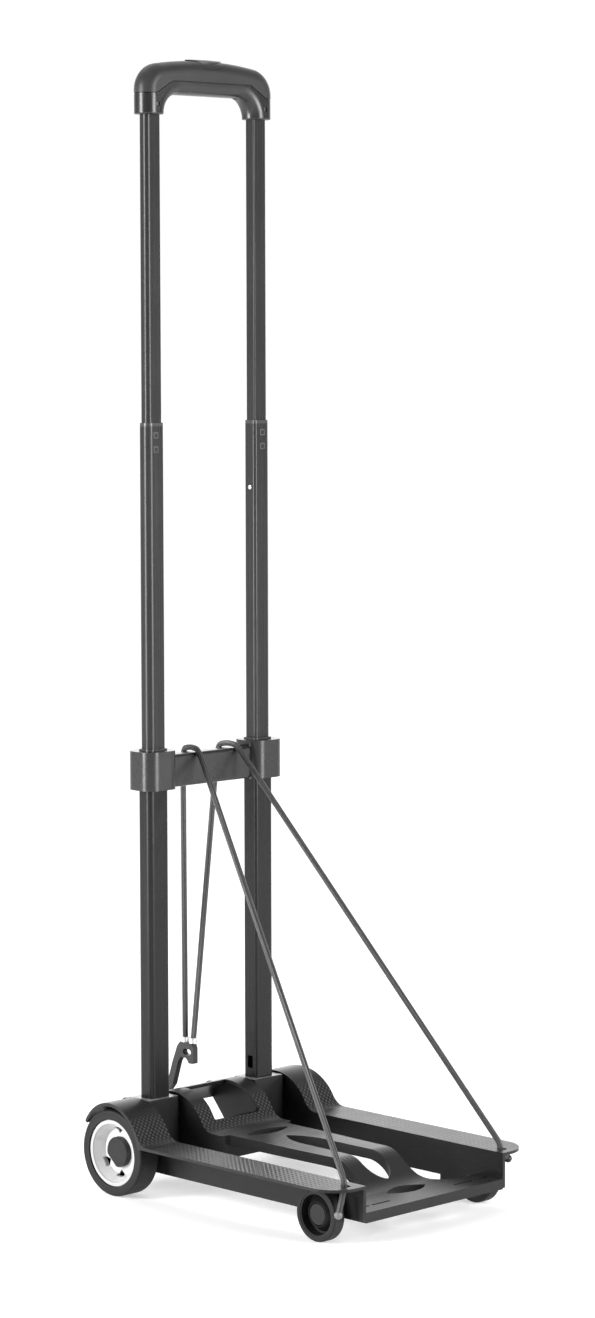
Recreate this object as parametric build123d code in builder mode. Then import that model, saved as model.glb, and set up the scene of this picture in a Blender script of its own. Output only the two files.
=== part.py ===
from build123d import *
import math
import os

os.makedirs("parts", exist_ok=True)

# Sizes in mm. X runs along the axle, the front of the deck points to -Y, Z is up from the floor.

# Layout
tube_spacing = 130.0
rear_wheel_radius = 38.5
front_wheel_radius = 23.3
front_reach = 284.0
tie_rod_back = 47.5
tie_rod_rise = 27.5
lug_radius = 6.5

# Fits
slide_gap = 0.3
seat_gap = 0.05
running_gap = 0.06
side_gap = 0.6

# Telescopic tubes
tube_wall = 1.2
lower_width = 22.5
lower_depth = 17.0
lower_round = 5.0
lower_crisp = 2.7
mid_round = 5.5
mid_crisp = 2.7
lower_rise = 7.5
lower_length = 345.0
mid_overlap = 39.0
mid_length = 328.5
upper_overlap = 64.5
upper_length = 352.0
bush_height = 3.0
plug_flange = 3.0
mid_plug_length = 25.0
upper_plug_length = 24.0
latch_radius = 2.5
mid_latch_rise = 18.0
upper_latch_rise = 7.0
lock_rise = 50.0
lock_hole_width = 6.5
lock_hole_height = 11.5

# Sockets, axle and tie rod
socket_inner_wall = 6.75
socket_outer_wall = 7.25
socket_front_wall = 4.5
socket_back_wall = 6.5
socket_drop = 20.5
socket_grip = 36.0
socket_round = 2.0
lug_width = 10.0
lug_root_drop = 16.0
lug_root_rise = 10.0
rivet_rise = 20.0
rivet_radius = 2.0
rivet_head = 3.2
rivet_head_height = 0.8
axle_radius = 4.0
axle_stub = 3.4
tie_rod_radius = 3.0

# Rear wheels
wheel_gap = 7.0
tyre_width = 22.0
tyre_depth = 8.5
tyre_shoulder = 2.2
rim_lip_step = 0.7
rim_lip_width = 3.3
rim_recess = 1.2
rim_web = 2.4
dish_reach = 7.0
hub_length = 10.6
hub_step = 1.0
cap_radius = 13.5
cap_gap = 0.4
cap_wall = 1.2
cap_flat = 3.0
cap_flat_turn = 228.0
window_root = 2.5
window_margin = 3.0
window_angle = 30.0
window_turn = 153.0
window_round = 1.0
rim_fields = 6
clip_radius = 8.0
clip_thickness = 1.2

# Front wheels
front_wheel_setback = 41.6
front_wheel_gap = 3.5
front_wheel_width = 12.0
front_tyre_depth = 4.3
front_dish = 8.5
front_hub_radius = 10.8
front_dish_floor = 1.5
front_hub_drop = 2.2
front_axle_radius = 3.0
front_axle_head = 9.4
front_axle_head_depth = 1.6
head_sink = 0.2
head_gap = 0.4
front_boss_radius = 9.0

# Rails with fenders
rail_gap = 1.5
rail_wall = 3.0
rail_height = 31.0
flange_thickness = 2.6
flange_headroom = 2.8
flange_overhang = 5.5
flange_corner = 27.0
fender_gap = 3.5
fender_thickness = 3.0
fender_end = 149.0
fender_taper = 9.0
foot_round = 16.0
wheel_boss_radius = 10.0
wall_knee_back = 20.0
wall_knee_rise = 1.5
wall_heel_back = 10.0
skirt_back = 33.0
skirt_front = 12.0
skirt_drop = 13.3
skirt_round = 4.0
cord_hole_inset = 12.0
cord_hole_setback = 14.0
cord_slot_run = 3.5
cord_hole_gap = 0.7

# Centre deck: arch, tongue and front bar
arch_gap = 3.0
arch_wall = 3.0
arch_arm_width = 16.0
arch_arm_crest = 18.5
arch_window_rise = 7.5
arch_window_back = 4.0
arch_window_round = 3.0
arch_drop = 14.5
box_run = 20.0
box_lift = 7.0
box_round = 4.5
tongue_rise = 0.5
tongue_thickness = 9.0
tongue_skin = 2.6
tongue_neck_inset = 9.0
tongue_neck_run = 45.0
tongue_neck_round = 3.0
tongue_inset = 11.5
tongue_straight_run = 26.0
bend_end_setback = 50.0
bend_run = 31.0
bend_radius = 30.0
bar_rise = 8.0
bar_depth = 30.0
bar_flare = 38.0
root_hole_run = 13.0
root_hole_margin = 9.5
root_hole_width = 16.0
slot_tip_run = 24.0
slot_taper_run = 38.0
slot_side_half = 13.0
slot_end_land = 7.0
slot_end_run = 22.0
slot_end_half = 14.0
pocket_margin = 15.0
bar_hole_setback = 35.0
bar_hole_half = 23.5
bar_hole_width = 20.0
thin_slot_setback = 16.0
thin_slot_width = 2.5
thin_slot_margin = 3.0
thin_slot_outer_length = 17.0
thin_slot_inner_length = 22.0
thin_slot_bridge = 3.0

# Bracket
collar_side_wall = 7.0
collar_front_wall = 8.0
collar_round = 11.0
collar_drop = 32.0
collar_rise = 2.5
crossbar_depth = 16.0
crossbar_lift = 0.3
crossbar_height = 29.2
crossbar_round = 3.0
crossbar_shell = 3.0
cover_thickness = 2.5
cover_margin = 7.75
bracket_screw_inset = 8.0
bracket_screw_radius = 1.6
bracket_screw_head = 3.0
lower_bush_rise = 1.8

# Handle
leg_wall = 4.75
leg_overlap = 16.0
grip_lift = 2.0
grip_height = 31.0
grip_depth = 24.0
grip_flat = 2.0
grip_wall = 2.4
corner_radius = 24.0
crown_rise = 4.0
finger_round = 17.0
seam_lift = 2.0
seam_step = 11.0
seam_outset = 1.0
seam_run = 19.0
seam_round = 9.0
seam_groove = 0.7
seam_groove_depth = 0.8
leg_edge = 1.5
post_inset = 27.0
post_radius = 4.5
handle_screw_radius = 1.5
handle_screw_head = 2.8
handle_screw_drop = 1.8
pin_rise = 9.0
pin_radius = 2.1
pin_recess = 1.2

# Release button and its linkage
button_half = 22.0
button_width = 17.0
button_rise = 1.0
button_gap = 0.4
yoke_lift = 9.2
yoke_thickness = 4.8
yoke_overhang = 4.0
button_travel = 4.0
rod_radius = 2.0
rod_gap = 6.0
leaf_half = 24.0
leaf_thickness = 0.6
leaf_width = 4.0

# Elastic cord and hook
cord_radius = 2.6
left_cord_x = 18.0
right_cord_x = 27.4
right_cord_slant = 0.24
hole_bend = 8.0
hole_bend_rise = 4.0
tail_bend = 4.0
tail_bend_drop = 1.0
left_tail_drop = 21.5
right_tail_drop = 8.0
left_tail_lean = 7.0
right_tail_lean = 10.0
left_stop_radius = 3.6
right_stop_radius = 3.6
hook_half_thickness = 2.8
hook_rise = 52.3
hook_front = 16.0
hook_shoulder_run = 8.2
hook_shoulder_drop = 4.3
hook_prong_length = 18.8
hook_prong_width = 7.5
hook_notch_drop = 14.3
hook_notch_round = 2.6
hook_arm_width = 8.2
hook_arm_lean = 7.0
hook_arm_drop = 17.0
hook_knee_rise = 11.0
hook_knee_lean = 6.9
hook_eye_inset = 8.4
hook_eye_drop = 8.7
hook_eye_length = 10.5
hook_eye_width = 5.6
hook_tip_thickness = 4.5
strand_inset = 3.0
ferrule_radius = 3.7
ferrule_length = 4.8
ferrule_gap = 2.9

# Axle, tubes and heights up the frame
tube_x = tube_spacing / 2
axle_z = rear_wheel_radius
axle_y = (front_reach - tie_rod_back - lug_radius) / 2
bore_radius = axle_radius + running_gap
step_in = tube_wall + slide_gap
mid_width = lower_width - 2 * step_in
mid_depth = lower_depth - 2 * step_in
upper_width = mid_width - 2 * step_in
upper_depth = mid_depth - 2 * step_in
upper_round = mid_round - step_in
upper_crisp = mid_crisp - step_in
lower_bottom = axle_z + lower_rise
lower_top = lower_bottom + lower_length
mid_bottom = lower_top - mid_overlap
mid_top = mid_bottom + mid_length
upper_bottom = mid_top - upper_overlap
upper_top = upper_bottom + upper_length
mid_latch_height = mid_bottom + mid_latch_rise
upper_latch_height = upper_bottom + upper_latch_rise
lock_height = lower_bottom + lock_rise

# Sockets and tie rod, set by the tubes and the axle
socket_inner = tube_x - lower_width / 2 - socket_inner_wall
socket_outer = tube_x + lower_width / 2 + socket_outer_wall
socket_front = lower_depth / 2 + socket_front_wall
socket_back = lower_depth / 2 + socket_back_wall
socket_bottom = axle_z - socket_drop
socket_top = lower_bottom + socket_grip
rivet_height = lower_bottom + rivet_rise
tie_rod_height = axle_z + tie_rod_rise

# Rails and wheels, outwards from the sockets
rail_inner = socket_outer + rail_gap
wall_face = rail_inner + rail_wall
hub_inner_face = wall_face + wheel_gap
hub_outer_face = hub_inner_face + hub_length
tyre_inner_face = hub_inner_face
tyre_outer_face = tyre_inner_face + tyre_width
tyre_seat_radius = rear_wheel_radius - tyre_depth
rim_lip_radius = tyre_seat_radius - rim_lip_step
lip_inner = rim_lip_radius - rim_lip_width
axle_reach = hub_outer_face + axle_stub
cap_outer_face = axle_reach + cap_gap + cap_wall
hub_radius = cap_radius - hub_step
dish_radius = cap_radius + dish_reach
window_inner = cap_radius + window_root
window_outer = lip_inner - window_margin
front_axle_z = front_wheel_radius
front_inner_face = wall_face + front_wheel_gap
front_outer_face = front_inner_face + front_wheel_width
front_wheel_back = front_reach - front_wheel_setback
rail_outer = tyre_outer_face + flange_overhang
rail_top = 2 * front_wheel_radius + flange_headroom + flange_thickness
rail_bottom = rail_top - rail_height
fender_radius = rear_wheel_radius + fender_gap + fender_thickness
fender_bed = fender_radius - fender_thickness
cord_hole_x = rail_inner + cord_hole_inset
cord_hole_reach = front_reach - cord_hole_setback
cord_hole_width = 2 * (cord_radius + cord_hole_gap)

# Centre deck, between the sockets and forward from the arch
arch_half = socket_inner - arch_gap
arch_window_half = arch_half - arch_arm_width
arch_crest_half = arch_half - arch_arm_crest
arch_bottom = axle_z - arch_drop
box_bottom = arch_bottom + box_lift
tongue_top = rail_top + tongue_rise
arch_window_bottom = tongue_top + arch_window_rise
box_reach = fender_radius + box_run
tongue_neck_half = arch_half - tongue_neck_inset
tongue_neck_reach = box_reach + tongue_neck_run
tongue_half = arch_half - tongue_inset
bar_back_reach = front_reach - bar_depth
tongue_straight_reach = bar_back_reach - bar_flare - tongue_straight_run
bend_end_reach = front_reach - bend_end_setback
bend_start_reach = bend_end_reach - bend_run
bar_top = rail_bottom + bar_rise
root_hole_reach = box_reach + root_hole_run
root_hole_half = tongue_neck_half - root_hole_margin
slot_tip_reach = root_hole_reach + slot_tip_run
slot_side_reach = slot_tip_reach + slot_taper_run
slot_end_reach = bend_end_reach - slot_end_land
slot_end_side_reach = slot_end_reach - slot_end_run
bar_hole_reach = front_reach - bar_hole_setback
thin_slot_reach = front_reach - thin_slot_setback
thin_slot_outer = rail_inner - thin_slot_margin
thin_slot_inner = thin_slot_outer - thin_slot_outer_length - thin_slot_bridge - thin_slot_inner_length

# Bracket and handle, set by the tubes
collar_width = lower_width + 2 * collar_side_wall
collar_depth = lower_depth + 2 * collar_front_wall
collar_bottom = lower_top - collar_drop
collar_top = lower_top + collar_rise
crossbar_bottom = collar_bottom + crossbar_lift
crossbar_top = crossbar_bottom + crossbar_height
cover_half = tube_x - collar_width / 2 - cover_margin
bracket_screw_x = cover_half - bracket_screw_inset
leg_width = upper_width + 2 * leg_wall
leg_outer = tube_x + leg_width / 2
grip_round = (min(grip_depth, leg_width) - grip_flat) / 2
leg_inner = tube_x - leg_width / 2
leg_bottom = upper_top - leg_overlap
grip_underside = upper_top + grip_lift
grip_crown = grip_underside + grip_height
corner_height = grip_crown - crown_rise - corner_radius
finger_fillet = min(finger_round, grip_underside - leg_bottom - 0.5)
seam_leg_height = upper_top + seam_lift
seam_mid_height = seam_leg_height + seam_step
seam_outer = tube_x + seam_outset
seam_inner = seam_outer - seam_run
post_x = tube_x - post_inset
pin_height = leg_bottom + pin_rise
yoke_bottom = grip_underside + yoke_lift
yoke_half = tube_x + yoke_overhang

# The yoke fits between the grip's rounded inner walls when it is pressed down
cavity_round = grip_round - grip_wall
yoke_room = min(yoke_lift - button_travel - grip_wall, cavity_round)
cavity_half = grip_depth / 2 - grip_round + math.sqrt(cavity_round**2 - (cavity_round - yoke_room) ** 2)
yoke_width = 2 * (cavity_half - slide_gap)
rod_bottom = upper_bottom + upper_plug_length + rod_gap

# Cord ends and hook, set by the flange and the tie rod
left_tail_height = rail_top - flange_thickness - left_tail_drop
right_tail_height = rail_top - flange_thickness - right_tail_drop
hook_top = tie_rod_height + hook_rise
hook_prong_bottom = hook_top - hook_prong_length
hook_notch_top = hook_top - hook_notch_drop
hook_eye_back = hook_front + hook_eye_inset
hook_eye_height = hook_top - hook_eye_drop
strand_front_back = hook_front + strand_inset
strand_rear_back = strand_front_back + 2 * ferrule_radius + ferrule_gap
hook_shoulder_back = strand_rear_back + hook_shoulder_run


def side_plane(x):
    """Plane across X at x, measured from the axle: local x runs to the back, local y runs up."""
    return Plane(origin=(x, axle_y, axle_z), x_dir=(0, 1, 0), z_dir=(1, 0, 0))


def plan_plane(z):
    """Level plane at height z with its origin above the axle."""
    return Plane(origin=(0, axle_y, z), x_dir=(1, 0, 0), z_dir=(0, 0, 1))


def front_plane(back):
    """Upright plane facing the front, at a distance behind the axle; local y is the height."""
    return Plane(origin=(0, axle_y + back, 0), x_dir=(1, 0, 0), z_dir=(0, -1, 0))


def band(outer, inner, start, end):
    """Sector of a ring round the axle; angles start at the front and go over the top."""
    with BuildSketch() as sector:
        with BuildLine():
            rim = CenterArc((0, 0), outer, 180 - end, end - start)
            bed = CenterArc((0, 0), inner, 180 - end, end - start)
            Line(rim @ 0, bed @ 0)
            Line(rim @ 1, bed @ 1)
        make_face()
    return sector.sketch


def tube_section(width, depth, round_radius, crisp_radius, side):
    """Tube outline: the side away from the middle is rounder than the inner one."""
    with BuildSketch() as section:
        Rectangle(width, depth)
        by_x = section.vertices().sort_by(Axis.X)
        fillet(by_x[2:] if side > 0 else by_x[:2], round_radius)
        by_x = section.vertices().sort_by(Axis.X)
        fillet(by_x[:2] if side > 0 else by_x[-2:], crisp_radius)
    return section.sketch


def lower_section(side, grow):
    return tube_section(
        lower_width + 2 * grow, lower_depth + 2 * grow, lower_round + grow, lower_crisp + grow, side
    )


def mid_section(side, grow):
    return tube_section(mid_width + 2 * grow, mid_depth + 2 * grow, mid_round + grow, mid_crisp + grow, side)


def upper_section(side, grow):
    return tube_section(
        upper_width + 2 * grow,
        upper_depth + 2 * grow,
        upper_round + grow,
        max(upper_crisp + grow, 0.4),
        side,
    )


def tube_plane(side, z):
    return Plane(origin=(side * tube_x, axle_y, z), x_dir=(1, 0, 0), z_dir=(0, 0, 1))


def cross_plane(side, height):
    """Plane across X at a tube's centre line, its normal pointing to the middle."""
    return Plane(origin=(side * tube_x, axle_y, height), x_dir=(0, 1, 0), z_dir=(-side, 0, 0))


def keep(part, name):
    part.label = name
    export_step(part, "parts/" + name + ".step")


def mirrored(source, name):
    """The same piece on the other side of the middle plane."""
    with BuildPart() as twin:
        mirror(source, about=Plane.YZ)
    keep(twin.part, name)
    return twin.part


# Lower tubes with the lock hole near the socket and the latch hole inside the bracket
def lower_tube(side):
    with BuildPart() as tube:
        with BuildSketch(tube_plane(side, lower_bottom)):
            add(lower_section(side, 0))
            add(lower_section(side, -tube_wall), mode=Mode.SUBTRACT)
        extrude(amount=lower_top - lower_bottom)
        with BuildSketch(cross_plane(side, lock_height)):
            RectangleRounded(lock_hole_width, lock_hole_height, 1.0)
        extrude(amount=lower_width, mode=Mode.SUBTRACT)
        with BuildSketch(cross_plane(side, mid_latch_height)):
            Circle(latch_radius + slide_gap)
        extrude(amount=lower_width, mode=Mode.SUBTRACT)
        with BuildSketch(cross_plane(side, rivet_height)):
            Circle(rivet_radius + seat_gap)
        extrude(amount=lower_width, both=True, mode=Mode.SUBTRACT)
    return tube.part


lower_tube_right = lower_tube(1)
keep(lower_tube_right, "lower_tube_right")
mirrored(lower_tube_right, "lower_tube_left")


# Middle tubes with a latch hole at each end
def mid_tube(side):
    with BuildPart() as tube:
        with BuildSketch(tube_plane(side, mid_bottom)):
            add(mid_section(side, 0))
            add(mid_section(side, -tube_wall), mode=Mode.SUBTRACT)
        extrude(amount=mid_top - mid_bottom)
        for height in (upper_latch_height, mid_latch_height):
            with BuildSketch(cross_plane(side, height)):
                Circle(latch_radius + slide_gap)
            extrude(amount=mid_width, mode=Mode.SUBTRACT)
    return tube.part


mid_tube_right = mid_tube(1)
keep(mid_tube_right, "mid_tube_right")
mirrored(mid_tube_right, "mid_tube_left")


# Upper tubes, pinned in the legs of the handle
def upper_tube(side):
    with BuildPart() as tube:
        with BuildSketch(tube_plane(side, upper_bottom)):
            add(upper_section(side, 0))
            add(upper_section(side, -tube_wall), mode=Mode.SUBTRACT)
        extrude(amount=upper_top - upper_bottom)
        with BuildSketch(cross_plane(side, upper_latch_height)):
            Circle(latch_radius + slide_gap)
        extrude(amount=upper_width, mode=Mode.SUBTRACT)
        with BuildSketch(front_plane(0)):
            with Locations((side * tube_x, pin_height)):
                Circle(pin_radius + seat_gap)
        extrude(amount=upper_depth, mode=Mode.SUBTRACT)
    return tube.part


upper_tube_right = upper_tube(1)
keep(upper_tube_right, "upper_tube_right")
mirrored(upper_tube_right, "upper_tube_left")


# Plastic bushes on the tops of the lower and middle tubes
def lower_bush(side):
    with BuildPart() as bush:
        with BuildSketch(tube_plane(side, lower_top)):
            add(lower_section(side, 0))
            add(mid_section(side, slide_gap), mode=Mode.SUBTRACT)
        extrude(amount=collar_top + lower_bush_rise - lower_top)
    return bush.part


lower_bush_right = lower_bush(1)
keep(lower_bush_right, "lower_bush_right")
mirrored(lower_bush_right, "lower_bush_left")


def mid_bush(side):
    with BuildPart() as bush:
        with BuildSketch(tube_plane(side, mid_top)):
            add(mid_section(side, 0))
            add(upper_section(side, slide_gap), mode=Mode.SUBTRACT)
        extrude(amount=bush_height)
    return bush.part


mid_bush_right = mid_bush(1)
keep(mid_bush_right, "mid_bush_right")
mirrored(mid_bush_right, "mid_bush_left")


# Plugs in the lower ends of the sliding tubes; each carries a latch
def mid_plug(side):
    with BuildPart() as plug:
        with BuildSketch(tube_plane(side, mid_bottom - plug_flange)):
            add(mid_section(side, 0))
        extrude(amount=plug_flange)
        with BuildSketch(tube_plane(side, mid_bottom)):
            add(mid_section(side, -tube_wall - seat_gap))
        extrude(amount=mid_plug_length)
        with BuildSketch(cross_plane(side, mid_latch_height)):
            Circle(latch_radius + slide_gap)
        extrude(amount=mid_width, mode=Mode.SUBTRACT)
    return plug.part


mid_plug_right = mid_plug(1)
keep(mid_plug_right, "mid_plug_right")
mirrored(mid_plug_right, "mid_plug_left")


def upper_plug(side):
    with BuildPart() as plug:
        with BuildSketch(tube_plane(side, upper_bottom - plug_flange)):
            add(upper_section(side, 0))
        extrude(amount=plug_flange)
        with BuildSketch(tube_plane(side, upper_bottom)):
            add(upper_section(side, -tube_wall - seat_gap))
        extrude(amount=upper_plug_length)
        with BuildSketch(cross_plane(side, upper_latch_height)):
            Circle(latch_radius + slide_gap)
        extrude(amount=upper_width, mode=Mode.SUBTRACT)
    return plug.part


upper_plug_right = upper_plug(1)
keep(upper_plug_right, "upper_plug_right")
mirrored(upper_plug_right, "upper_plug_left")


# Spring latches: a pin on each side reaches through the hole of the tube outside it
def latch_pair(height, reach):
    with BuildPart() as latches:
        for side in (-1, 1):
            with BuildSketch(cross_plane(side, height)):
                Circle(latch_radius)
            extrude(amount=reach)
        fillet(latches.faces().filter_by(Axis.X).edges(), 0.6)
    return latches.part


keep(latch_pair(mid_latch_height, lower_width / 2 + 0.8), "mid_latches")
keep(latch_pair(upper_latch_height, mid_width / 2 - 0.1), "upper_latches")

# Sockets: they hold the lower tubes, turn on the axle and carry the tie rod behind them
with BuildPart() as tube_socket_right:
    with BuildSketch(plan_plane(socket_bottom)):
        with BuildLine():
            Polyline(
                (socket_inner, -socket_front),
                (socket_outer, -socket_front),
                (socket_outer, socket_back),
                (socket_inner, socket_back),
                close=True,
            )
        make_face()
    extrude(amount=socket_top - socket_bottom)
    fillet(tube_socket_right.edges().filter_by(Axis.Z), socket_round)
    fillet(tube_socket_right.faces().sort_by(Axis.Z)[-1].edges(), 1.0)
    with BuildSketch(side_plane(socket_inner)):
        with BuildLine():
            Polyline(
                (socket_back - socket_round, tie_rod_rise - lug_root_drop),
                (tie_rod_back, tie_rod_rise - lug_radius),
                (tie_rod_back, tie_rod_rise + lug_radius),
                (socket_back - socket_round, tie_rod_rise + lug_root_rise),
                close=True,
            )
        make_face()
        with Locations((tie_rod_back, tie_rod_rise)):
            Circle(lug_radius)
    extrude(amount=lug_width)
    with BuildSketch(side_plane(socket_inner)):
        with Locations((tie_rod_back, tie_rod_rise)):
            Circle(tie_rod_radius + seat_gap)
    extrude(amount=lug_width, mode=Mode.SUBTRACT)
    with BuildSketch(tube_plane(1, lower_bottom)):
        add(lower_section(1, seat_gap))
    extrude(amount=socket_top - lower_bottom, mode=Mode.SUBTRACT)
    with BuildSketch(side_plane(socket_inner)):
        Circle(axle_radius + seat_gap)
    extrude(amount=socket_outer - socket_inner, mode=Mode.SUBTRACT)
    with BuildSketch(side_plane(socket_inner)):
        with Locations((0, rivet_height - axle_z)):
            Circle(rivet_radius + seat_gap)
    extrude(amount=socket_outer - socket_inner, mode=Mode.SUBTRACT)
keep(tube_socket_right.part, "tube_socket_right")
mirrored(tube_socket_right.part, "tube_socket_left")

# One rivet through each socket and tube
with BuildPart() as socket_rivets:
    for side in (-1, 1):
        low = min(side * socket_inner, side * socket_outer)
        with BuildSketch(side_plane(low)):
            with Locations((0, rivet_height - axle_z)):
                Circle(rivet_radius)
        extrude(amount=socket_outer - socket_inner)
        with BuildSketch(side_plane(low), side_plane(low + socket_outer - socket_inner + rivet_head_height)):
            with Locations((0, rivet_height - axle_z)):
                Circle(rivet_head)
        extrude(amount=-rivet_head_height)
keep(socket_rivets.part, "socket_rivets")

# Axle right through, with a push-on clip outside each rear wheel
with BuildPart() as axle:
    with BuildSketch(side_plane(-axle_reach)):
        Circle(axle_radius)
    extrude(amount=2 * axle_reach)
    chamfer(axle.faces().filter_by(Axis.X).edges(), 0.6)
keep(axle.part, "axle")

with BuildPart() as axle_clips:
    clip_face = hub_outer_face + side_gap
    with BuildSketch(side_plane(clip_face), side_plane(-clip_face - clip_thickness)):
        Circle(clip_radius)
        Circle(axle_radius + seat_gap, mode=Mode.SUBTRACT)
    extrude(amount=clip_thickness)
keep(axle_clips.part, "axle_clips")

with BuildPart() as tie_rod:
    with BuildSketch(side_plane(-socket_inner - lug_width)):
        with Locations((tie_rod_back, tie_rod_rise)):
            Circle(tie_rod_radius)
    extrude(amount=2 * (socket_inner + lug_width))
keep(tie_rod.part, "tie_rod")


# Rear wheels: rubber tyre, dished rim with windows, hub cap
def wedge(outer, inner, middle):
    """Three-cornered window with its point towards the axle; the angle is counted as in a band."""
    turn = math.radians(180 - middle)
    half = math.radians(window_angle / 2)
    with BuildSketch() as window:
        with BuildLine():
            Polyline(
                (inner * math.cos(turn), inner * math.sin(turn)),
                (outer * math.cos(turn - half), outer * math.sin(turn - half)),
                (outer * math.cos(turn + half), outer * math.sin(turn + half)),
                close=True,
            )
        make_face()
        fillet(window.vertices(), window_round)
    return window.sketch


def wheel_profile_plane(reach, height):
    """Plane through a wheel's axis: local x is the distance from the middle, local y the radius."""
    return Plane(origin=(0, axle_y - reach, height), x_dir=(1, 0, 0), z_dir=(0, -1, 0))


def wheel_axis(reach, height):
    return Axis((0, axle_y - reach, height), (1, 0, 0))


with BuildPart() as rear_tyre_right:
    with BuildSketch(wheel_profile_plane(0, axle_z)) as tyre_shape:
        with BuildLine():
            Polyline(
                (tyre_inner_face, tyre_seat_radius + seat_gap),
                (tyre_outer_face, tyre_seat_radius + seat_gap),
                (tyre_outer_face, rear_wheel_radius),
                (tyre_inner_face, rear_wheel_radius),
                close=True,
            )
        make_face()
        fillet(tyre_shape.vertices().sort_by(Axis.Y)[-2:], tyre_shoulder)
    revolve(axis=wheel_axis(0, axle_z))
keep(rear_tyre_right.part, "rear_tyre_right")
mirrored(rear_tyre_right.part, "rear_tyre_left")

with BuildPart() as rear_rim_right:
    with BuildSketch(wheel_profile_plane(0, axle_z)):
        with BuildLine():
            Polyline(
                (hub_inner_face, bore_radius),
                (hub_outer_face, bore_radius),
                (hub_outer_face, dish_radius),
                (tyre_outer_face - rim_recess - 1.0, lip_inner),
                (tyre_outer_face - rim_recess, lip_inner + 0.4),
                (tyre_outer_face - rim_recess, rim_lip_radius),
                (tyre_outer_face - rim_recess - 0.8, tyre_seat_radius),
                (tyre_inner_face + 0.8, tyre_seat_radius),
                (tyre_inner_face + 0.8, tyre_seat_radius - 3.2),
                (tyre_outer_face - rim_recess - 4.0, tyre_seat_radius - 3.2),
                (hub_outer_face - rim_web / 2, dish_radius + 0.87 * rim_web),
                (hub_outer_face - rim_web, dish_radius + 0.7),
                (hub_outer_face - rim_web, hub_radius),
                (hub_inner_face, hub_radius),
                close=True,
            )
        make_face()
    revolve(axis=wheel_axis(0, axle_z))
    with BuildSketch(side_plane(hub_outer_face - 4)):
        for field in range(1, rim_fields):
            add(wedge(window_outer, window_inner, window_turn + field * 360 / rim_fields))
    extrude(amount=tyre_width, mode=Mode.SUBTRACT)
keep(rear_rim_right.part, "rear_rim_right")
mirrored(rear_rim_right.part, "rear_rim_left")

with BuildPart() as hub_cap_right:
    with BuildSketch(wheel_profile_plane(0, axle_z)):
        with BuildLine():
            Polyline(
                (hub_outer_face, clip_radius + 1.2),
                (hub_outer_face, cap_radius),
                (cap_outer_face - 0.8, cap_radius),
                (cap_outer_face, cap_radius - 0.8),
                (cap_outer_face, 0),
                (axle_reach + cap_gap, 0),
                (axle_reach + cap_gap, axle_radius + 1.5),
                (hub_outer_face + side_gap + clip_thickness + 0.6, clip_radius + 1.2),
                close=True,
            )
        make_face()
    revolve(axis=wheel_axis(0, axle_z))
    with BuildSketch(side_plane(hub_outer_face)):
        with PolarLocations(1.5 * cap_radius - cap_flat, 1, start_angle=180 - cap_flat_turn):
            Rectangle(cap_radius, 2 * cap_radius)
    extrude(amount=tyre_width, mode=Mode.SUBTRACT)
keep(hub_cap_right.part, "hub_cap_right")
mirrored(hub_cap_right.part, "hub_cap_left")

# Front wheels: tyre ring on a dished hub, each on its own short axle
front_seat_radius = front_wheel_radius - front_tyre_depth
with BuildPart() as front_tyre_right:
    with BuildSketch(wheel_profile_plane(front_wheel_back, front_axle_z)) as front_tyre_shape:
        with BuildLine():
            Polyline(
                (front_inner_face, front_seat_radius + seat_gap),
                (front_outer_face, front_seat_radius + seat_gap),
                (front_outer_face, front_wheel_radius),
                (front_inner_face, front_wheel_radius),
                close=True,
            )
        make_face()
        fillet(front_tyre_shape.vertices().sort_by(Axis.Y)[-2:], 1.6)
    revolve(axis=wheel_axis(front_wheel_back, front_axle_z))
keep(front_tyre_right.part, "front_tyre_right")
mirrored(front_tyre_right.part, "front_tyre_left")

front_hub_face = front_outer_face - front_hub_drop
with BuildPart() as front_hub_right:
    with BuildSketch(wheel_profile_plane(front_wheel_back, front_axle_z)):
        with BuildLine():
            Polyline(
                (front_inner_face, front_axle_radius + running_gap),
                (front_hub_face - 2.4, front_axle_radius + running_gap),
                (front_hub_face - 2.4, front_axle_head + head_gap),
                (front_hub_face, front_axle_head + head_gap),
                (front_hub_face, front_hub_radius),
                (front_outer_face - front_dish, front_seat_radius - 2.0 - front_dish_floor),
                (front_outer_face - front_dish, front_seat_radius - 2.0),
                (front_outer_face - 0.6, front_seat_radius - 1.4),
                (front_outer_face - 0.6, front_seat_radius),
                (front_inner_face, front_seat_radius),
                close=True,
            )
        make_face()
    revolve(axis=wheel_axis(front_wheel_back, front_axle_z))
keep(front_hub_right.part, "front_hub_right")
mirrored(front_hub_right.part, "front_hub_left")

with BuildPart() as front_axle_right:
    with BuildSketch(wheel_profile_plane(front_wheel_back, front_axle_z)):
        with BuildLine():
            Polyline(
                (rail_inner, 0),
                (front_hub_face - head_sink, 0),
                (front_hub_face - head_sink, front_axle_head - 0.4),
                (front_hub_face - head_sink - front_axle_head_depth, front_axle_head),
                (front_hub_face - head_sink - front_axle_head_depth, front_axle_radius),
                (rail_inner, front_axle_radius),
                close=True,
            )
        make_face()
    revolve(axis=wheel_axis(front_wheel_back, front_axle_z))
keep(front_axle_right.part, "front_axle_right")
mirrored(front_axle_right.part, "front_axle_left")


def arch_foot(level, thickness):
    """Filler with a hollow fillet where an arch round the axle runs out into a flat top."""
    reach = math.sqrt((fender_radius + foot_round) ** 2 - (level + foot_round) ** 2)
    turn = math.degrees(math.asin((level + foot_round) / (fender_radius + foot_round)))
    root = math.degrees(math.asin((level - thickness) / fender_bed))
    with BuildSketch() as filler:
        with BuildLine():
            hollow = CenterArc((-reach, level + foot_round), foot_round, -90, 90 - turn)
            bed = CenterArc((0, 0), fender_bed, 180 - turn, turn - root)
            Polyline(hollow @ 0, (-reach, level - thickness), bed @ 1)
            Line(hollow @ 1, bed @ 0)
        make_face()
    return filler.sketch


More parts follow.
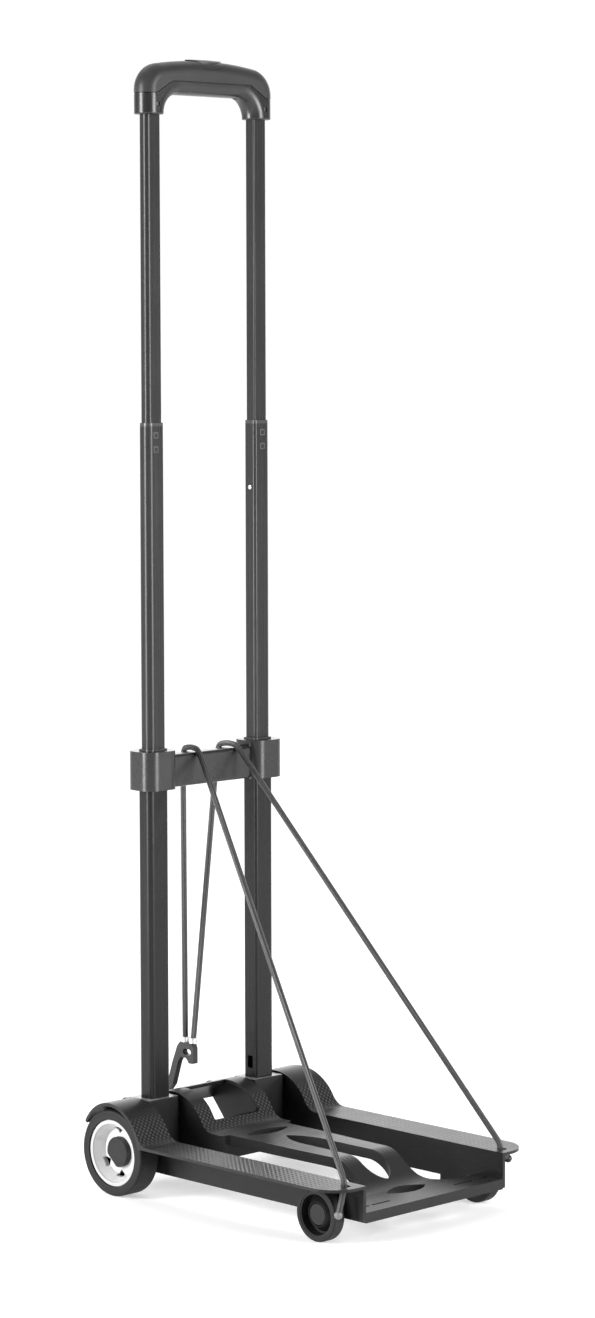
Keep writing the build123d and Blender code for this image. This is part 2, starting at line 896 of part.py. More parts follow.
# Rails: upright wall, top flange and the fender over the rear wheel in one moulding
foot_angle = math.degrees(math.asin((rail_top - flange_thickness - axle_z) / fender_radius))
with BuildPart() as rail_right:
    with BuildSketch(side_plane(rail_inner)):
        with BuildLine():
            crest = CenterArc((0, 0), fender_radius, 180 - fender_end, fender_end - foot_angle)
            Polyline(
                crest @ 1,
                (-fender_radius, rail_top - axle_z),
                (-front_reach, rail_top - axle_z),
                (-front_reach, rail_bottom - axle_z),
                (wall_heel_back, rail_bottom - axle_z),
                (wall_knee_back, wall_knee_rise),
                crest @ 0,
            )
        make_face()
        with Locations((-front_wheel_back, front_axle_z - axle_z)):
            Circle(front_boss_radius)
    extrude(amount=rail_wall)
    with BuildSketch(side_plane(rail_inner)) as skirt_shape:
        with BuildLine():
            Polyline(
                (-front_wheel_back - skirt_front, rail_top - flange_thickness - axle_z),
                (-front_wheel_back + skirt_back, rail_top - flange_thickness - axle_z),
                (-front_wheel_back + skirt_back, front_axle_z - skirt_drop - axle_z),
                (-front_wheel_back - skirt_front, front_axle_z - skirt_drop - axle_z),
                close=True,
            )
        make_face()
        fillet(skirt_shape.vertices().group_by(Axis.Y)[0], skirt_round)
    extrude(amount=rail_wall)
    with BuildSketch(plan_plane(rail_top - flange_thickness)) as flange_shape:
        with BuildLine():
            Polyline(
                (rail_inner, -fender_bed),
                (rail_outer, -fender_bed),
                (rail_outer, -front_reach),
                (rail_inner, -front_reach),
                close=True,
            )
        make_face()
        fillet(flange_shape.vertices().group_by(Axis.Y)[0].sort_by(Axis.X)[-1], flange_corner)
        with Locations((cord_hole_x, -cord_hole_reach - cord_slot_run / 2)):
            SlotCenterToCenter(cord_slot_run, cord_hole_width, rotation=90, mode=Mode.SUBTRACT)
    extrude(amount=flange_thickness)
    with BuildSketch(side_plane(rail_inner)):
        add(band(fender_radius, fender_bed, foot_angle, fender_end))
        add(arch_foot(rail_top - axle_z, flange_thickness))
    extrude(amount=rail_outer - rail_inner)
    with BuildSketch(plan_plane(rail_top - flange_thickness)):
        with BuildLine():
            Polyline(
                (rail_outer, -fender_bed),
                (rail_outer + 1, -fender_bed),
                (rail_outer + 1, fender_bed),
                (rail_outer - fender_taper, fender_bed),
                close=True,
            )
        make_face()
    extrude(amount=axle_z + fender_radius - rail_top + flange_thickness, mode=Mode.SUBTRACT)
    with BuildSketch(side_plane(wall_face)):
        Circle(wheel_boss_radius)
    extrude(amount=hub_inner_face - side_gap - wall_face)
    with BuildSketch(side_plane(wall_face)):
        with Locations((-front_wheel_back, front_axle_z - axle_z)):
            Circle(front_axle_radius + 3)
    extrude(amount=front_inner_face - side_gap - wall_face)
    with BuildSketch(side_plane(rail_inner)):
        Circle(bore_radius)
        with Locations((-front_wheel_back, front_axle_z - axle_z)):
            Circle(front_axle_radius + seat_gap)
    extrude(amount=rail_outer - rail_inner, mode=Mode.SUBTRACT)
keep(rail_right.part, "rail_right")
mirrored(rail_right.part, "rail_left")


def lens(half, width):
    """Leaf shape between two arcs, long in X."""
    with BuildSketch() as leaf:
        with BuildLine():
            ThreePointArc((-half, 0), (0, width / 2), (half, 0))
            ThreePointArc((half, 0), (0, -width / 2), (-half, 0))
        make_face()
    return leaf.sketch


# Centre deck: tongue and front bar cut from one bent section, then the arch behind them
bend_slope = math.atan((tongue_top - bar_top) / (bend_end_reach - bend_start_reach))
bend_shift = tongue_thickness * math.tan(bend_slope / 2)
bar_bottom = bar_top - tongue_thickness
arch_foot_angle = math.degrees(math.asin((tongue_top - tongue_skin - axle_z) / fender_radius))
with BuildPart() as centre_deck:
    with BuildSketch(Plane(origin=(0, axle_y, 0), x_dir=(0, 1, 0), z_dir=(1, 0, 0))):
        with BuildLine():
            over = FilletPolyline(
                (-fender_bed, tongue_top),
                (-bend_start_reach, tongue_top),
                (-bend_end_reach, bar_top),
                (-front_reach, bar_top),
                radius=bend_radius,
            )
            under = FilletPolyline(
                (-fender_bed, tongue_top - tongue_thickness),
                (-bend_start_reach + bend_shift, tongue_top - tongue_thickness),
                (-bend_end_reach + bend_shift, bar_bottom),
                (-front_reach, bar_bottom),
                radius=bend_radius,
            )
            Line(over @ 0, under @ 0)
            Line(over @ 1, under @ 1)
        make_face()
    extrude(amount=rail_inner, both=True)
    with BuildSketch(plan_plane(0)) as tongue_plan:
        with BuildLine():
            Polyline(
                (0, 0),
                (arch_half, 0),
                (arch_half, -box_reach),
                (tongue_neck_half, -box_reach),
                (tongue_neck_half, -tongue_neck_reach),
                (tongue_half, -tongue_straight_reach),
                (tongue_half, -bar_back_reach),
                (rail_inner, -bar_back_reach),
                (rail_inner, -front_reach),
                (0, -front_reach),
                close=True,
            )
        make_face()
        for corner, corner_round in (
            ((arch_half, -box_reach), box_round),
            ((tongue_neck_half, -box_reach), tongue_neck_round),
            ((tongue_half, -bar_back_reach), bar_flare),
        ):
            fillet(tongue_plan.vertices().sort_by_distance(corner)[0], corner_round)
        mirror(about=Plane.YZ)
    extrude(amount=tongue_top, mode=Mode.INTERSECT)
    with BuildSketch(plan_plane(0)):
        with Locations((0, -root_hole_reach)):
            add(lens(root_hole_half, root_hole_width))
        with Locations((0, -bar_hole_reach)):
            add(lens(bar_hole_half, bar_hole_width))
        with BuildLine():
            for side in (-1, 1):
                tip_bow = -0.62 * slot_tip_reach - 0.38 * slot_side_reach
                end_bow = -0.28 * slot_end_side_reach - 0.72 * slot_end_reach
                tip = ThreePointArc(
                    (0, -slot_tip_reach),
                    (side * 0.7 * slot_side_half, tip_bow),
                    (side * slot_side_half, -slot_side_reach),
                )
                edge = Line(tip @ 1, (side * slot_end_half, -slot_end_side_reach))
                ThreePointArc(edge @ 1, (side * 0.7 * slot_end_half, end_bow), (0, -slot_end_reach))
        make_face()
        for side in (-1, 1):
            with Locations((side * (thin_slot_inner + thin_slot_inner_length / 2), -thin_slot_reach)):
                Rectangle(thin_slot_inner_length, thin_slot_width)
            with Locations((side * (thin_slot_outer - thin_slot_outer_length / 2), -thin_slot_reach)):
                Rectangle(thin_slot_outer_length, thin_slot_width)
    extrude(amount=tongue_top, mode=Mode.SUBTRACT)
    with BuildSketch(plan_plane(tongue_top - tongue_skin)):
        for side in (-1, 1):
            strut_middle = (tongue_half + slot_side_half) / 2
            pocket_width = tongue_half - slot_side_half - 2 * arch_wall
            pocket_length = slot_end_side_reach - slot_tip_reach - 2 * pocket_margin
            with Locations((side * strut_middle, -(slot_tip_reach + slot_end_side_reach) / 2)):
                Rectangle(pocket_width, pocket_length)
    extrude(amount=-tongue_thickness, mode=Mode.SUBTRACT)
    with BuildSketch(side_plane(-arch_half)):
        add(band(fender_radius, fender_bed, arch_foot_angle, fender_end))
        add(arch_foot(tongue_top - axle_z, tongue_skin))
    extrude(amount=2 * arch_half)
    with BuildSketch(side_plane(-arch_half), side_plane(arch_half - arch_wall)):
        with BuildLine():
            arch_crest = CenterArc((0, 0), fender_radius, 180 - fender_end, fender_end - arch_foot_angle)
            Polyline(
                arch_crest @ 1,
                (-fender_radius, tongue_top - tongue_thickness - axle_z),
                (-fender_radius, arch_bottom - axle_z),
                (wall_heel_back, arch_bottom - axle_z),
                (wall_knee_back, wall_knee_rise),
                arch_crest @ 0,
            )
        make_face()
    extrude(amount=arch_wall)
    with BuildSketch(plan_plane(box_bottom)) as box_shape:
        with Locations((0, -(box_reach + fender_bed) / 2)):
            Rectangle(2 * arch_half, box_reach - fender_bed)
        fillet(box_shape.vertices().group_by(Axis.Y)[0], box_round)
        with Locations((0, -(box_reach - arch_wall + fender_bed) / 2)):
            Rectangle(2 * (arch_half - arch_wall), box_reach - arch_wall - fender_bed, mode=Mode.SUBTRACT)
    extrude(amount=tongue_top - tongue_skin - box_bottom)
    with BuildSketch(side_plane(-arch_half - 2), side_plane(arch_half)):
        Circle(wheel_boss_radius)
    extrude(amount=2)
    with BuildSketch(front_plane(arch_window_back)) as window_shape:
        with BuildLine():
            Polyline(
                (-arch_window_half, arch_window_bottom),
                (arch_window_half, arch_window_bottom),
                (arch_crest_half, axle_z + fender_radius + 1),
                (-arch_crest_half, axle_z + fender_radius + 1),
                close=True,
            )
        make_face()
        fillet(window_shape.vertices().group_by(Axis.Y)[0], arch_window_round)
    extrude(amount=arch_window_back + fender_radius, mode=Mode.SUBTRACT)
    with BuildSketch(side_plane(-arch_half - 2)):
        Circle(bore_radius)
    extrude(amount=2 * arch_half + 4, mode=Mode.SUBTRACT)
keep(centre_deck.part, "centre_deck")

# Bracket: a collar on each lower tube joined by a hollow crossbar, closed at the back by a cover
with BuildPart() as bracket:
    with BuildSketch(plan_plane(crossbar_bottom)):
        Rectangle(2 * tube_x, crossbar_depth)
    extrude(amount=crossbar_top - crossbar_bottom)
    fillet(bracket.edges().filter_by(Axis.X), crossbar_round)
    with BuildSketch(front_plane(crossbar_depth / 2)):
        with Locations((0, (crossbar_top + crossbar_bottom) / 2)):
            Rectangle(2 * cover_half, crossbar_top - crossbar_bottom - 2 * crossbar_shell)
    extrude(amount=crossbar_depth - crossbar_shell, mode=Mode.SUBTRACT)
    with BuildSketch(front_plane(crossbar_depth / 2 - cover_thickness)):
        with Locations(
            (-bracket_screw_x, (crossbar_top + crossbar_bottom) / 2),
            (bracket_screw_x, (crossbar_top + crossbar_bottom) / 2),
        ):
            Circle(bracket_screw_head + 1)
            Circle(bracket_screw_radius, mode=Mode.SUBTRACT)
    extrude(amount=crossbar_depth - cover_thickness - crossbar_shell)
    with BuildSketch(tube_plane(-1, collar_bottom), tube_plane(1, collar_bottom)):
        RectangleRounded(collar_width, collar_depth, collar_round)
    extrude(amount=collar_top - collar_bottom)
    for side in (-1, 1):
        with BuildSketch(tube_plane(side, collar_bottom)):
            add(lower_section(side, seat_gap))
        extrude(amount=collar_top - collar_bottom, mode=Mode.SUBTRACT)
        with BuildSketch(cross_plane(side, mid_latch_height)):
            Circle(latch_radius + slide_gap)
        extrude(amount=lower_width / 2 + 1.5, mode=Mode.SUBTRACT)
keep(bracket.part, "bracket")

with BuildPart() as bracket_cover:
    with BuildSketch(front_plane(crossbar_depth / 2)):
        with Locations((0, (crossbar_top + crossbar_bottom) / 2)):
            cover_height = crossbar_top - crossbar_bottom - 2 * (crossbar_shell + seat_gap)
            Rectangle(2 * (cover_half - seat_gap), cover_height)
        with Locations(
            (-bracket_screw_x, (crossbar_top + crossbar_bottom) / 2),
            (bracket_screw_x, (crossbar_top + crossbar_bottom) / 2),
        ):
            Circle(bracket_screw_radius, mode=Mode.SUBTRACT)
    extrude(amount=cover_thickness)
keep(bracket_cover.part, "bracket_cover")

with BuildPart() as bracket_screws:
    with BuildSketch(front_plane(crossbar_depth / 2 + 1.2)):
        with Locations(
            (-bracket_screw_x, (crossbar_top + crossbar_bottom) / 2),
            (bracket_screw_x, (crossbar_top + crossbar_bottom) / 2),
        ):
            Circle(bracket_screw_head)
    extrude(amount=1.2)
    with BuildSketch(front_plane(crossbar_depth / 2)):
        with Locations(
            (-bracket_screw_x, (crossbar_top + crossbar_bottom) / 2),
            (bracket_screw_x, (crossbar_top + crossbar_bottom) / 2),
        ):
            Circle(bracket_screw_radius)
    extrude(amount=crossbar_depth - crossbar_shell - 4)
keep(bracket_screws.part, "bracket_screws")


# Handle: the two shells are cut from one rounded grip body
def grip_body(inset):
    """Grip and legs as one solid, moved in by the inset on every side but the leg ends."""
    corner_x = leg_outer - corner_radius
    lift = grip_crown - corner_height
    crown_radius = (corner_x**2 + lift**2 - corner_radius**2) / (2 * (lift - corner_radius))
    corner_turn = math.degrees(math.acos(corner_x / (crown_radius - corner_radius)))
    with BuildPart() as body:
        with BuildSketch(front_plane(0)):
            with BuildLine():
                rise = Line((leg_outer - inset, leg_bottom), (leg_outer - inset, corner_height))
                near = JernArc(rise @ 1, rise % 1, corner_radius - inset, corner_turn)
                crown = JernArc(near @ 1, near % 1, crown_radius - inset, 180 - 2 * corner_turn)
                far = JernArc(crown @ 1, crown % 1, corner_radius - inset, corner_turn)
                fall = Line(far @ 1, (-leg_outer + inset, leg_bottom))
                FilletPolyline(
                    fall @ 1,
                    (-leg_inner - inset, leg_bottom),
                    (-leg_inner - inset, grip_underside + inset),
                    (leg_inner + inset, grip_underside + inset),
                    (leg_inner + inset, leg_bottom),
                    rise @ 0,
                    radius=[0, finger_fillet + inset, finger_fillet + inset, 0],
                )
            make_face()
        extrude(amount=grip_depth / 2 - inset, both=True)
        rounded = [
            edge
            for edge in body.edges()
            if abs(edge.center().Y - axle_y) > grip_depth / 2 - inset - 0.01
            and edge.center().Z > leg_bottom + 0.5
        ]
        fillet(rounded, grip_round - inset)
    return body.part


def above_seam(lift):
    with BuildPart() as block:
        with BuildSketch(front_plane(0)) as outline:
            with BuildLine():
                Polyline(
                    (-leg_outer - 20, seam_leg_height + lift),
                    (-seam_outer, seam_leg_height + lift),
                    (-seam_inner, seam_mid_height + lift),
                    (seam_inner, seam_mid_height + lift),
                    (seam_outer, seam_leg_height + lift),
                    (leg_outer + 20, seam_leg_height + lift),
                    (leg_outer + 20, grip_crown + 20),
                    (-leg_outer - 20, grip_crown + 20),
                    close=True,
                )
            make_face()
            fillet([corner for corner in outline.vertices() if abs(corner.X) < leg_outer], seam_round)
        extrude(amount=grip_depth, both=True)
    return block.part


def button_prism(grow):
    """Upright leaf-shaped prism through the top of the grip."""
    with BuildPart() as prism:
        with BuildSketch(plan_plane(yoke_bottom + yoke_thickness)):
            add(lens(button_half + grow, button_width + 2 * grow))
        extrude(amount=grip_crown + 20 - yoke_bottom - yoke_thickness)
    return prism.part


with BuildPart() as grip_cavity:
    add(grip_body(grip_wall))
    with BuildSketch(plan_plane(leg_bottom)):
        Rectangle(4 * leg_outer, 2 * grip_depth)
    extrude(amount=upper_top - leg_bottom, mode=Mode.SUBTRACT)

with BuildPart() as seam_line:
    add(above_seam(0))
    add(above_seam(seam_groove), mode=Mode.SUBTRACT)
    add(grip_body(seam_groove_depth), mode=Mode.SUBTRACT)

with BuildPart() as handle_bottom:
    add(grip_body(0))
    fillet(handle_bottom.faces().filter_by(Axis.Z).group_by(Axis.Z)[0].edges(), leg_edge)
    add(above_seam(0), mode=Mode.SUBTRACT)
    add(grip_cavity.part, mode=Mode.SUBTRACT)
    for side in (-1, 1):
        with BuildSketch(tube_plane(side, leg_bottom)):
            add(upper_section(side, seat_gap))
        extrude(amount=upper_top - leg_bottom, mode=Mode.SUBTRACT)
    with BuildSketch(front_plane(0)):
        with Locations((-tube_x, pin_height), (tube_x, pin_height)):
            Circle(pin_radius + seat_gap)
    extrude(amount=grip_depth, mode=Mode.SUBTRACT)
    with BuildSketch(plan_plane(grip_underside)):
        with Locations((-post_x, 0), (post_x, 0)):
            Circle(handle_screw_radius + seat_gap)
    extrude(amount=grip_wall + 0.1, mode=Mode.SUBTRACT)
    with BuildSketch(plan_plane(grip_underside - 2)):
        with Locations((-post_x, 0), (post_x, 0)):
            Circle(handle_screw_head + 0.2)
    extrude(amount=2 + handle_screw_drop, mode=Mode.SUBTRACT)
keep(handle_bottom.part, "handle_bottom")

with BuildPart() as handle_top:
    add(grip_body(0))
    add(above_seam(0), mode=Mode.INTERSECT)
    add(seam_line.part, mode=Mode.SUBTRACT)
    add(grip_cavity.part, mode=Mode.SUBTRACT)
    with BuildSketch(plan_plane(grip_underside + grip_wall + 0.3)):
        with Locations((-post_x, 0), (post_x, 0)):
            Circle(post_radius)
    extrude(amount=grip_crown - grip_wall - grip_underside - grip_wall - 1.5)
    with BuildSketch(plan_plane(grip_underside)):
        with Locations((-post_x, 0), (post_x, 0)):
            Circle(handle_screw_radius + seat_gap)
    extrude(amount=14, mode=Mode.SUBTRACT)
    add(button_prism(button_gap), mode=Mode.SUBTRACT)
keep(handle_top.part, "handle_top")

with BuildPart() as handle_screws:
    with BuildSketch(plan_plane(grip_underside + handle_screw_drop - 1.4)):
        with Locations((-post_x, 0), (post_x, 0)):
            Circle(handle_screw_head)
    extrude(amount=1.4)
    with BuildSketch(plan_plane(grip_underside + handle_screw_drop)):
        with Locations((-post_x, 0), (post_x, 0)):
            Circle(handle_screw_radius)
    extrude(amount=11)
keep(handle_screws.part, "handle_screws")

with BuildPart() as tube_pins:
    with BuildSketch(front_plane(-upper_depth / 2 + tube_wall + 1)):
        with Locations((-tube_x, pin_height), (tube_x, pin_height)):
            Circle(pin_radius)
    extrude(amount=grip_depth / 2 - pin_recess - upper_depth / 2 + tube_wall + 1)
keep(tube_pins.part, "tube_pins")

# Release button, yoke, push rods and return leaf
with BuildPart() as release_button:
    add(button_prism(0))
    add(grip_body(-button_rise), mode=Mode.INTERSECT)
keep(release_button.part, "release_button")

with BuildPart() as release_yoke:
    with BuildSketch(plan_plane(yoke_bottom)):
        SlotOverall(2 * yoke_half, yoke_width)
        with Locations((-post_x, 0), (post_x, 0)):
            Circle(post_radius + slide_gap, mode=Mode.SUBTRACT)
    extrude(amount=yoke_thickness)
keep(release_yoke.part, "release_yoke")

with BuildPart() as push_rod_right:
    with BuildSketch(tube_plane(1, rod_bottom)):
        Circle(rod_radius)
    extrude(amount=yoke_bottom - rod_bottom)
keep(push_rod_right.part, "push_rod_right")
mirrored(push_rod_right.part, "push_rod_left")

leaf_floor = grip_underside + grip_wall + 0.1
with BuildPart() as return_leaf:
    with BuildSketch(front_plane(leaf_width / 2)):
        with BuildLine():
            bow = ThreePointArc(
                (-leaf_half, leaf_floor), (0, yoke_bottom - leaf_thickness), (leaf_half, leaf_floor)
            )
            back = ThreePointArc(
                (-leaf_half, leaf_floor + leaf_thickness),
                (0, yoke_bottom),
                (leaf_half, leaf_floor + leaf_thickness),
            )
            Line(bow @ 0, back @ 0)
            Line(bow @ 1, back @ 1)
        make_face()
    extrude(amount=leaf_width)
keep(return_leaf.part, "return_leaf")


# Elastic cord: straight runs with tangent arcs where it goes over the crossbar and into a rail
def cord_tube(points, radii, name):
    with BuildPart() as tube:
        with BuildLine():
            route = FilletPolyline(*points, radius=radii)
        with BuildSketch(Plane(origin=route @ 0, z_dir=route % 0)):
            Circle(cord_radius)
        sweep(path=route)
    ratio = tube.part.volume / (math.pi * cord_radius**2 * route.length)
    print(name, "length", round(route.length, 1), "radii", radii, "volume ratio", round(ratio, 4))
    keep(tube.part, name)


over_bar = crossbar_top + cord_radius
bar_bend = crossbar_round + cord_radius
strand_gone = crossbar_depth / 2 - crossbar_round
rear_bend_back = strand_gone + bar_bend
front_bend_reach = strand_gone + 0.5 * bar_bend
tail_bend_height = rail_top - flange_thickness - tail_bend_drop
for side, label, bar_x, slant, strand_back, tail, lean in (
    (-1, "left", left_cord_x, 0, strand_rear_back, left_tail_height, left_tail_lean),
    (1, "right", right_cord_x, right_cord_slant, strand_front_back, right_tail_height, right_tail_lean),
):
    cord_tube(
        [
            (side * bar_x, axle_y, over_bar),
            (side * (bar_x - slant * rear_bend_back), axle_y + rear_bend_back, over_bar),
            (0, axle_y + strand_back, hook_top),
        ],
        bar_bend,
        "rear_cord_" + label,
    )
    cord_tube(
        [
            (side * bar_x, axle_y, over_bar),
            (side * (bar_x + slant * front_bend_reach), axle_y - front_bend_reach, over_bar),
            (side * cord_hole_x, axle_y - cord_hole_reach, rail_top + hole_bend_rise),
            (side * cord_hole_x, axle_y - cord_hole_reach, tail_bend_height),
            (side * (cord_hole_x + lean), axle_y - cord_hole_reach, tail),
        ],
        [bar_bend, hole_bend, tail_bend],
        "front_cord_" + label,
    )


# Stops at the ends of the cord, bored for it
def cord_stop(side, tail, lean, radius, name):
    end = (side * (cord_hole_x + lean), axle_y - cord_hole_reach, tail)
    with BuildPart() as stop:
        with Locations(end):
            Sphere(radius)
        with BuildSketch(Plane(origin=end, z_dir=(-side * lean, 0, tail_bend_height - tail))):
            Circle(cord_radius)
        extrude(amount=radius, mode=Mode.SUBTRACT)
    keep(stop.part, name)


cord_stop(-1, left_tail_height, left_tail_lean, left_stop_radius, "cord_stop_left")
cord_stop(1, right_tail_height, right_tail_lean, right_stop_radius, "cord_stop_right")

# Hook of the cord: eye plate, front prong and the long arm that catches the tie rod
rod_y = tie_rod_back
rod_z = tie_rod_rise
tip_inner = tie_rod_radius + 0.1
tip_outer = tip_inner + hook_tip_thickness
knee_y = rod_y + tip_inner - hook_knee_lean
crown_z = hook_top - axle_z
notch_z = hook_notch_top - axle_z
with BuildPart() as hook:
    with BuildSketch(side_plane(-hook_half_thickness)) as hook_shape:
        with BuildLine():
            Polyline(
                (hook_front, crown_z - hook_shoulder_drop),
                (hook_front + 2, crown_z),
                (strand_rear_back + ferrule_radius + 0.5, crown_z),
                (hook_shoulder_back, crown_z - hook_shoulder_drop),
                (hook_shoulder_back + hook_arm_lean, crown_z - hook_shoulder_drop - hook_arm_drop),
                (knee_y + hook_arm_width - 0.7, rod_z + hook_knee_rise),
                (rod_y + tip_outer, rod_z + 3),
                (rod_y + tip_outer, rod_z),
                (rod_y + tip_inner, rod_z),
                (rod_y + tip_inner, rod_z + 3),
                (knee_y, rod_z + hook_knee_rise),
                (hook_shoulder_back + hook_arm_lean - hook_arm_width, notch_z - 4.4),
                (hook_shoulder_back - hook_shoulder_drop, notch_z),
                (hook_front + hook_prong_width + 2.5, notch_z),
                (hook_front + hook_prong_width, notch_z - 2.5),
                (hook_front + hook_prong_width - 1, hook_prong_bottom - axle_z),
                (hook_front, hook_prong_bottom - axle_z),
                close=True,
            )
        make_face()
        notch = [v for v in hook_shape.vertices() if abs(v.Y - notch_z) < 0.01]
        fillet(notch, 0.55 * hook_notch_round)
        corners = [v for v in hook_shape.vertices() if v.Y > notch_z + 1 or v.Y < notch_z - 3]
        fillet([v for v in corners if v.Y > rod_z + hook_knee_rise + 1], 1.4)
        with BuildLine():
            hook_over = CenterArc((rod_y, rod_z), tip_outer, 0, -200)
            hook_under = CenterArc((rod_y, rod_z), tip_inner, 0, -200)
            Line(hook_over @ 0, hook_under @ 0)
            Line(hook_over @ 1, hook_under @ 1)
        make_face()
        with Locations((hook_eye_back, hook_eye_height - axle_z)):
            SlotOverall(hook_eye_length, hook_eye_width, mode=Mode.SUBTRACT)
    extrude(amount=2 * hook_half_thickness)
keep(hook.part, "hook")

with BuildPart() as hook_ferrules:
    for back in (strand_front_back, strand_rear_back):
        with BuildSketch(plan_plane(hook_top)):
            with Locations((0, back)):
                Circle(ferrule_radius)
                Circle(cord_radius + 0.4, mode=Mode.SUBTRACT)
        extrude(amount=ferrule_length)
keep(hook_ferrules.part, "hook_ferrules")
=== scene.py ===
import math

import bpy
from mathutils import Matrix, Vector


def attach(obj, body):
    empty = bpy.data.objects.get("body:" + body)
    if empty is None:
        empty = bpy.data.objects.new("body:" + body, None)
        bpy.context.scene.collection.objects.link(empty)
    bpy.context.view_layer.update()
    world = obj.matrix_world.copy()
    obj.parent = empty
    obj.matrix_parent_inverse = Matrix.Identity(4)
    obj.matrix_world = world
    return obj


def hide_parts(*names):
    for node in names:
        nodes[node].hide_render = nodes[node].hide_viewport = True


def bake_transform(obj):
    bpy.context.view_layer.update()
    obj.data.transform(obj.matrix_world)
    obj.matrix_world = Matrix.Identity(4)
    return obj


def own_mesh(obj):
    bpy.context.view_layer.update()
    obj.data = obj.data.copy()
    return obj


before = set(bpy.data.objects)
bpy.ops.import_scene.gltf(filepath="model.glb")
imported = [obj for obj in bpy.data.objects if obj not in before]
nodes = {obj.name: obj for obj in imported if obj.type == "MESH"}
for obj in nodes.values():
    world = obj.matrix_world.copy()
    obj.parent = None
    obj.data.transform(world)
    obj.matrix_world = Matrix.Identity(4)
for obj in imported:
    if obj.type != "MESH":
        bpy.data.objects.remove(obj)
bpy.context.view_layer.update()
scene = bpy.context.scene

# Places of the part that the looks share, in metres
AXLE_Y = 0.115
AXLE_Z = 0.0385
TUBE_X = 0.065
FRONT_WHEEL_Y = AXLE_Y - 0.2424
FRONT_WHEEL_Z = 0.0233
GRIP_CROWN = 1.001

# Elastic cord
CORD_RADIUS = 0.0026
CORD_SIDES = 14

# Spring latch pins
PIN_RADIUS = 0.0025
PIN_DOME = 0.0010

# Return leaf: the grip's floor under it, half its length, its width, its bow and its thickness
LEAF_FLOOR = 0.9725
LEAF_HALF = 0.024
LEAF_WIDTH = 0.004
LEAF_BOW = 0.0061
LEAF_THICKNESS = 0.0006

# Dark rings behind the rear rims: painted shade in their windows
RING_X = 0.1000
RING_RADIUS = 0.0269
RING_WIDTH = 0.0145
RING_THICKNESS = 0.0009
RING_EDGE = 0.0002

# Camera fitted to the photograph: place in metres, sensor and lens in millimetres, turns in degrees
CAMERA_PLACE = (-2.21024, -2.24440, 0.76827)
CAMERA_SENSOR = 36.0
CAMERA_LENS = 98.79
CAMERA_TURN = -44.591
CAMERA_DOWN = 5.267
CAMERA_ROLL = -0.124

FULL_TURN = 2 * math.pi
WHITE = (1, 1, 1, 1)
SIDES = ((-1, "left"), (1, "right"))


# Camera at the photograph's angle
def set_camera():
    data = bpy.data.cameras.new("camera")
    data.sensor_fit = "AUTO"
    data.sensor_width = CAMERA_SENSOR
    data.lens = CAMERA_LENS
    data.clip_end = 50.0
    camera = bpy.data.objects.new("camera", data)
    scene.collection.objects.link(camera)
    turn = Matrix.Rotation(math.radians(CAMERA_TURN), 4, "Z")
    tilt = Matrix.Rotation(math.radians(90 - CAMERA_DOWN), 4, "X")
    roll = Matrix.Rotation(math.radians(CAMERA_ROLL), 4, "Z")
    camera.matrix_world = Matrix.Translation(CAMERA_PLACE) @ turn @ tilt @ roll
    scene.camera = camera


def area_light(name, place, target, width, height, power):
    data = bpy.data.lights.new(name, "AREA")
    data.shape = "RECTANGLE"
    data.size = width
    data.size_y = height
    data.energy = power
    lamp = bpy.data.objects.new(name, data)
    scene.collection.objects.link(lamp)
    lamp.location = place
    lamp.rotation_euler = (Vector(target) - Vector(place)).to_track_quat("-Z", "Y").to_euler()


class Wire:
    """An output of a node; an expression with it adds Math nodes."""

    def __init__(self, paint, socket):
        self.paint = paint
        self.socket = socket

    def math(self, operation, *values):
        return self.paint.node("ShaderNodeMath", {"operation": operation}, values)

    def __add__(self, other):
        return self.math("ADD", self, other)

    def __radd__(self, other):
        return self.math("ADD", other, self)

    def __sub__(self, other):
        return self.math("SUBTRACT", self, other)

    def __rsub__(self, other):
        return self.math("SUBTRACT", other, self)

    def __mul__(self, other):
        return self.math("MULTIPLY", self, other)

    def __rmul__(self, other):
        return self.math("MULTIPLY", other, self)

    def __truediv__(self, other):
        return self.math("DIVIDE", self, other)

    def __rtruediv__(self, other):
        return self.math("DIVIDE", other, self)

    def __pow__(self, other):
        return self.math("POWER", self, other)

    def __abs__(self):
        return self.math("ABSOLUTE", self)

    def __gt__(self, other):
        return self.math("GREATER_THAN", self, other)

    def __lt__(self, other):
        return self.math("LESS_THAN", self, other)

    def sine(self):
        return self.math("SINE", self)

    def cosine(self):
        return self.math("COSINE", self)

    def root(self):
        return self.math("SQRT", self)

    def fract(self):
        return self.math("FRACT", self)

    def sign(self):
        return self.math("SIGN", self)

    def angle_to(self, other):
        return self.math("ARCTAN2", self, other)

    def most(self, other):
        return self.math("MAXIMUM", self, other)

    def clip(self):
        return self.math("MINIMUM", self, 1.0).most(0.0)

    def wave(self, pitch):
        """A smooth wave from 0 to 1 and back, once in each pitch."""
        return (self * (FULL_TURN / pitch)).sine() * 0.5 + 0.5

    def between(self, low, high, soft):
        """1 between low and high, falling to 0 over the soft width on both sides."""
        return ((self - low) / soft + 0.5).clip() * ((high - self) / soft + 0.5).clip()


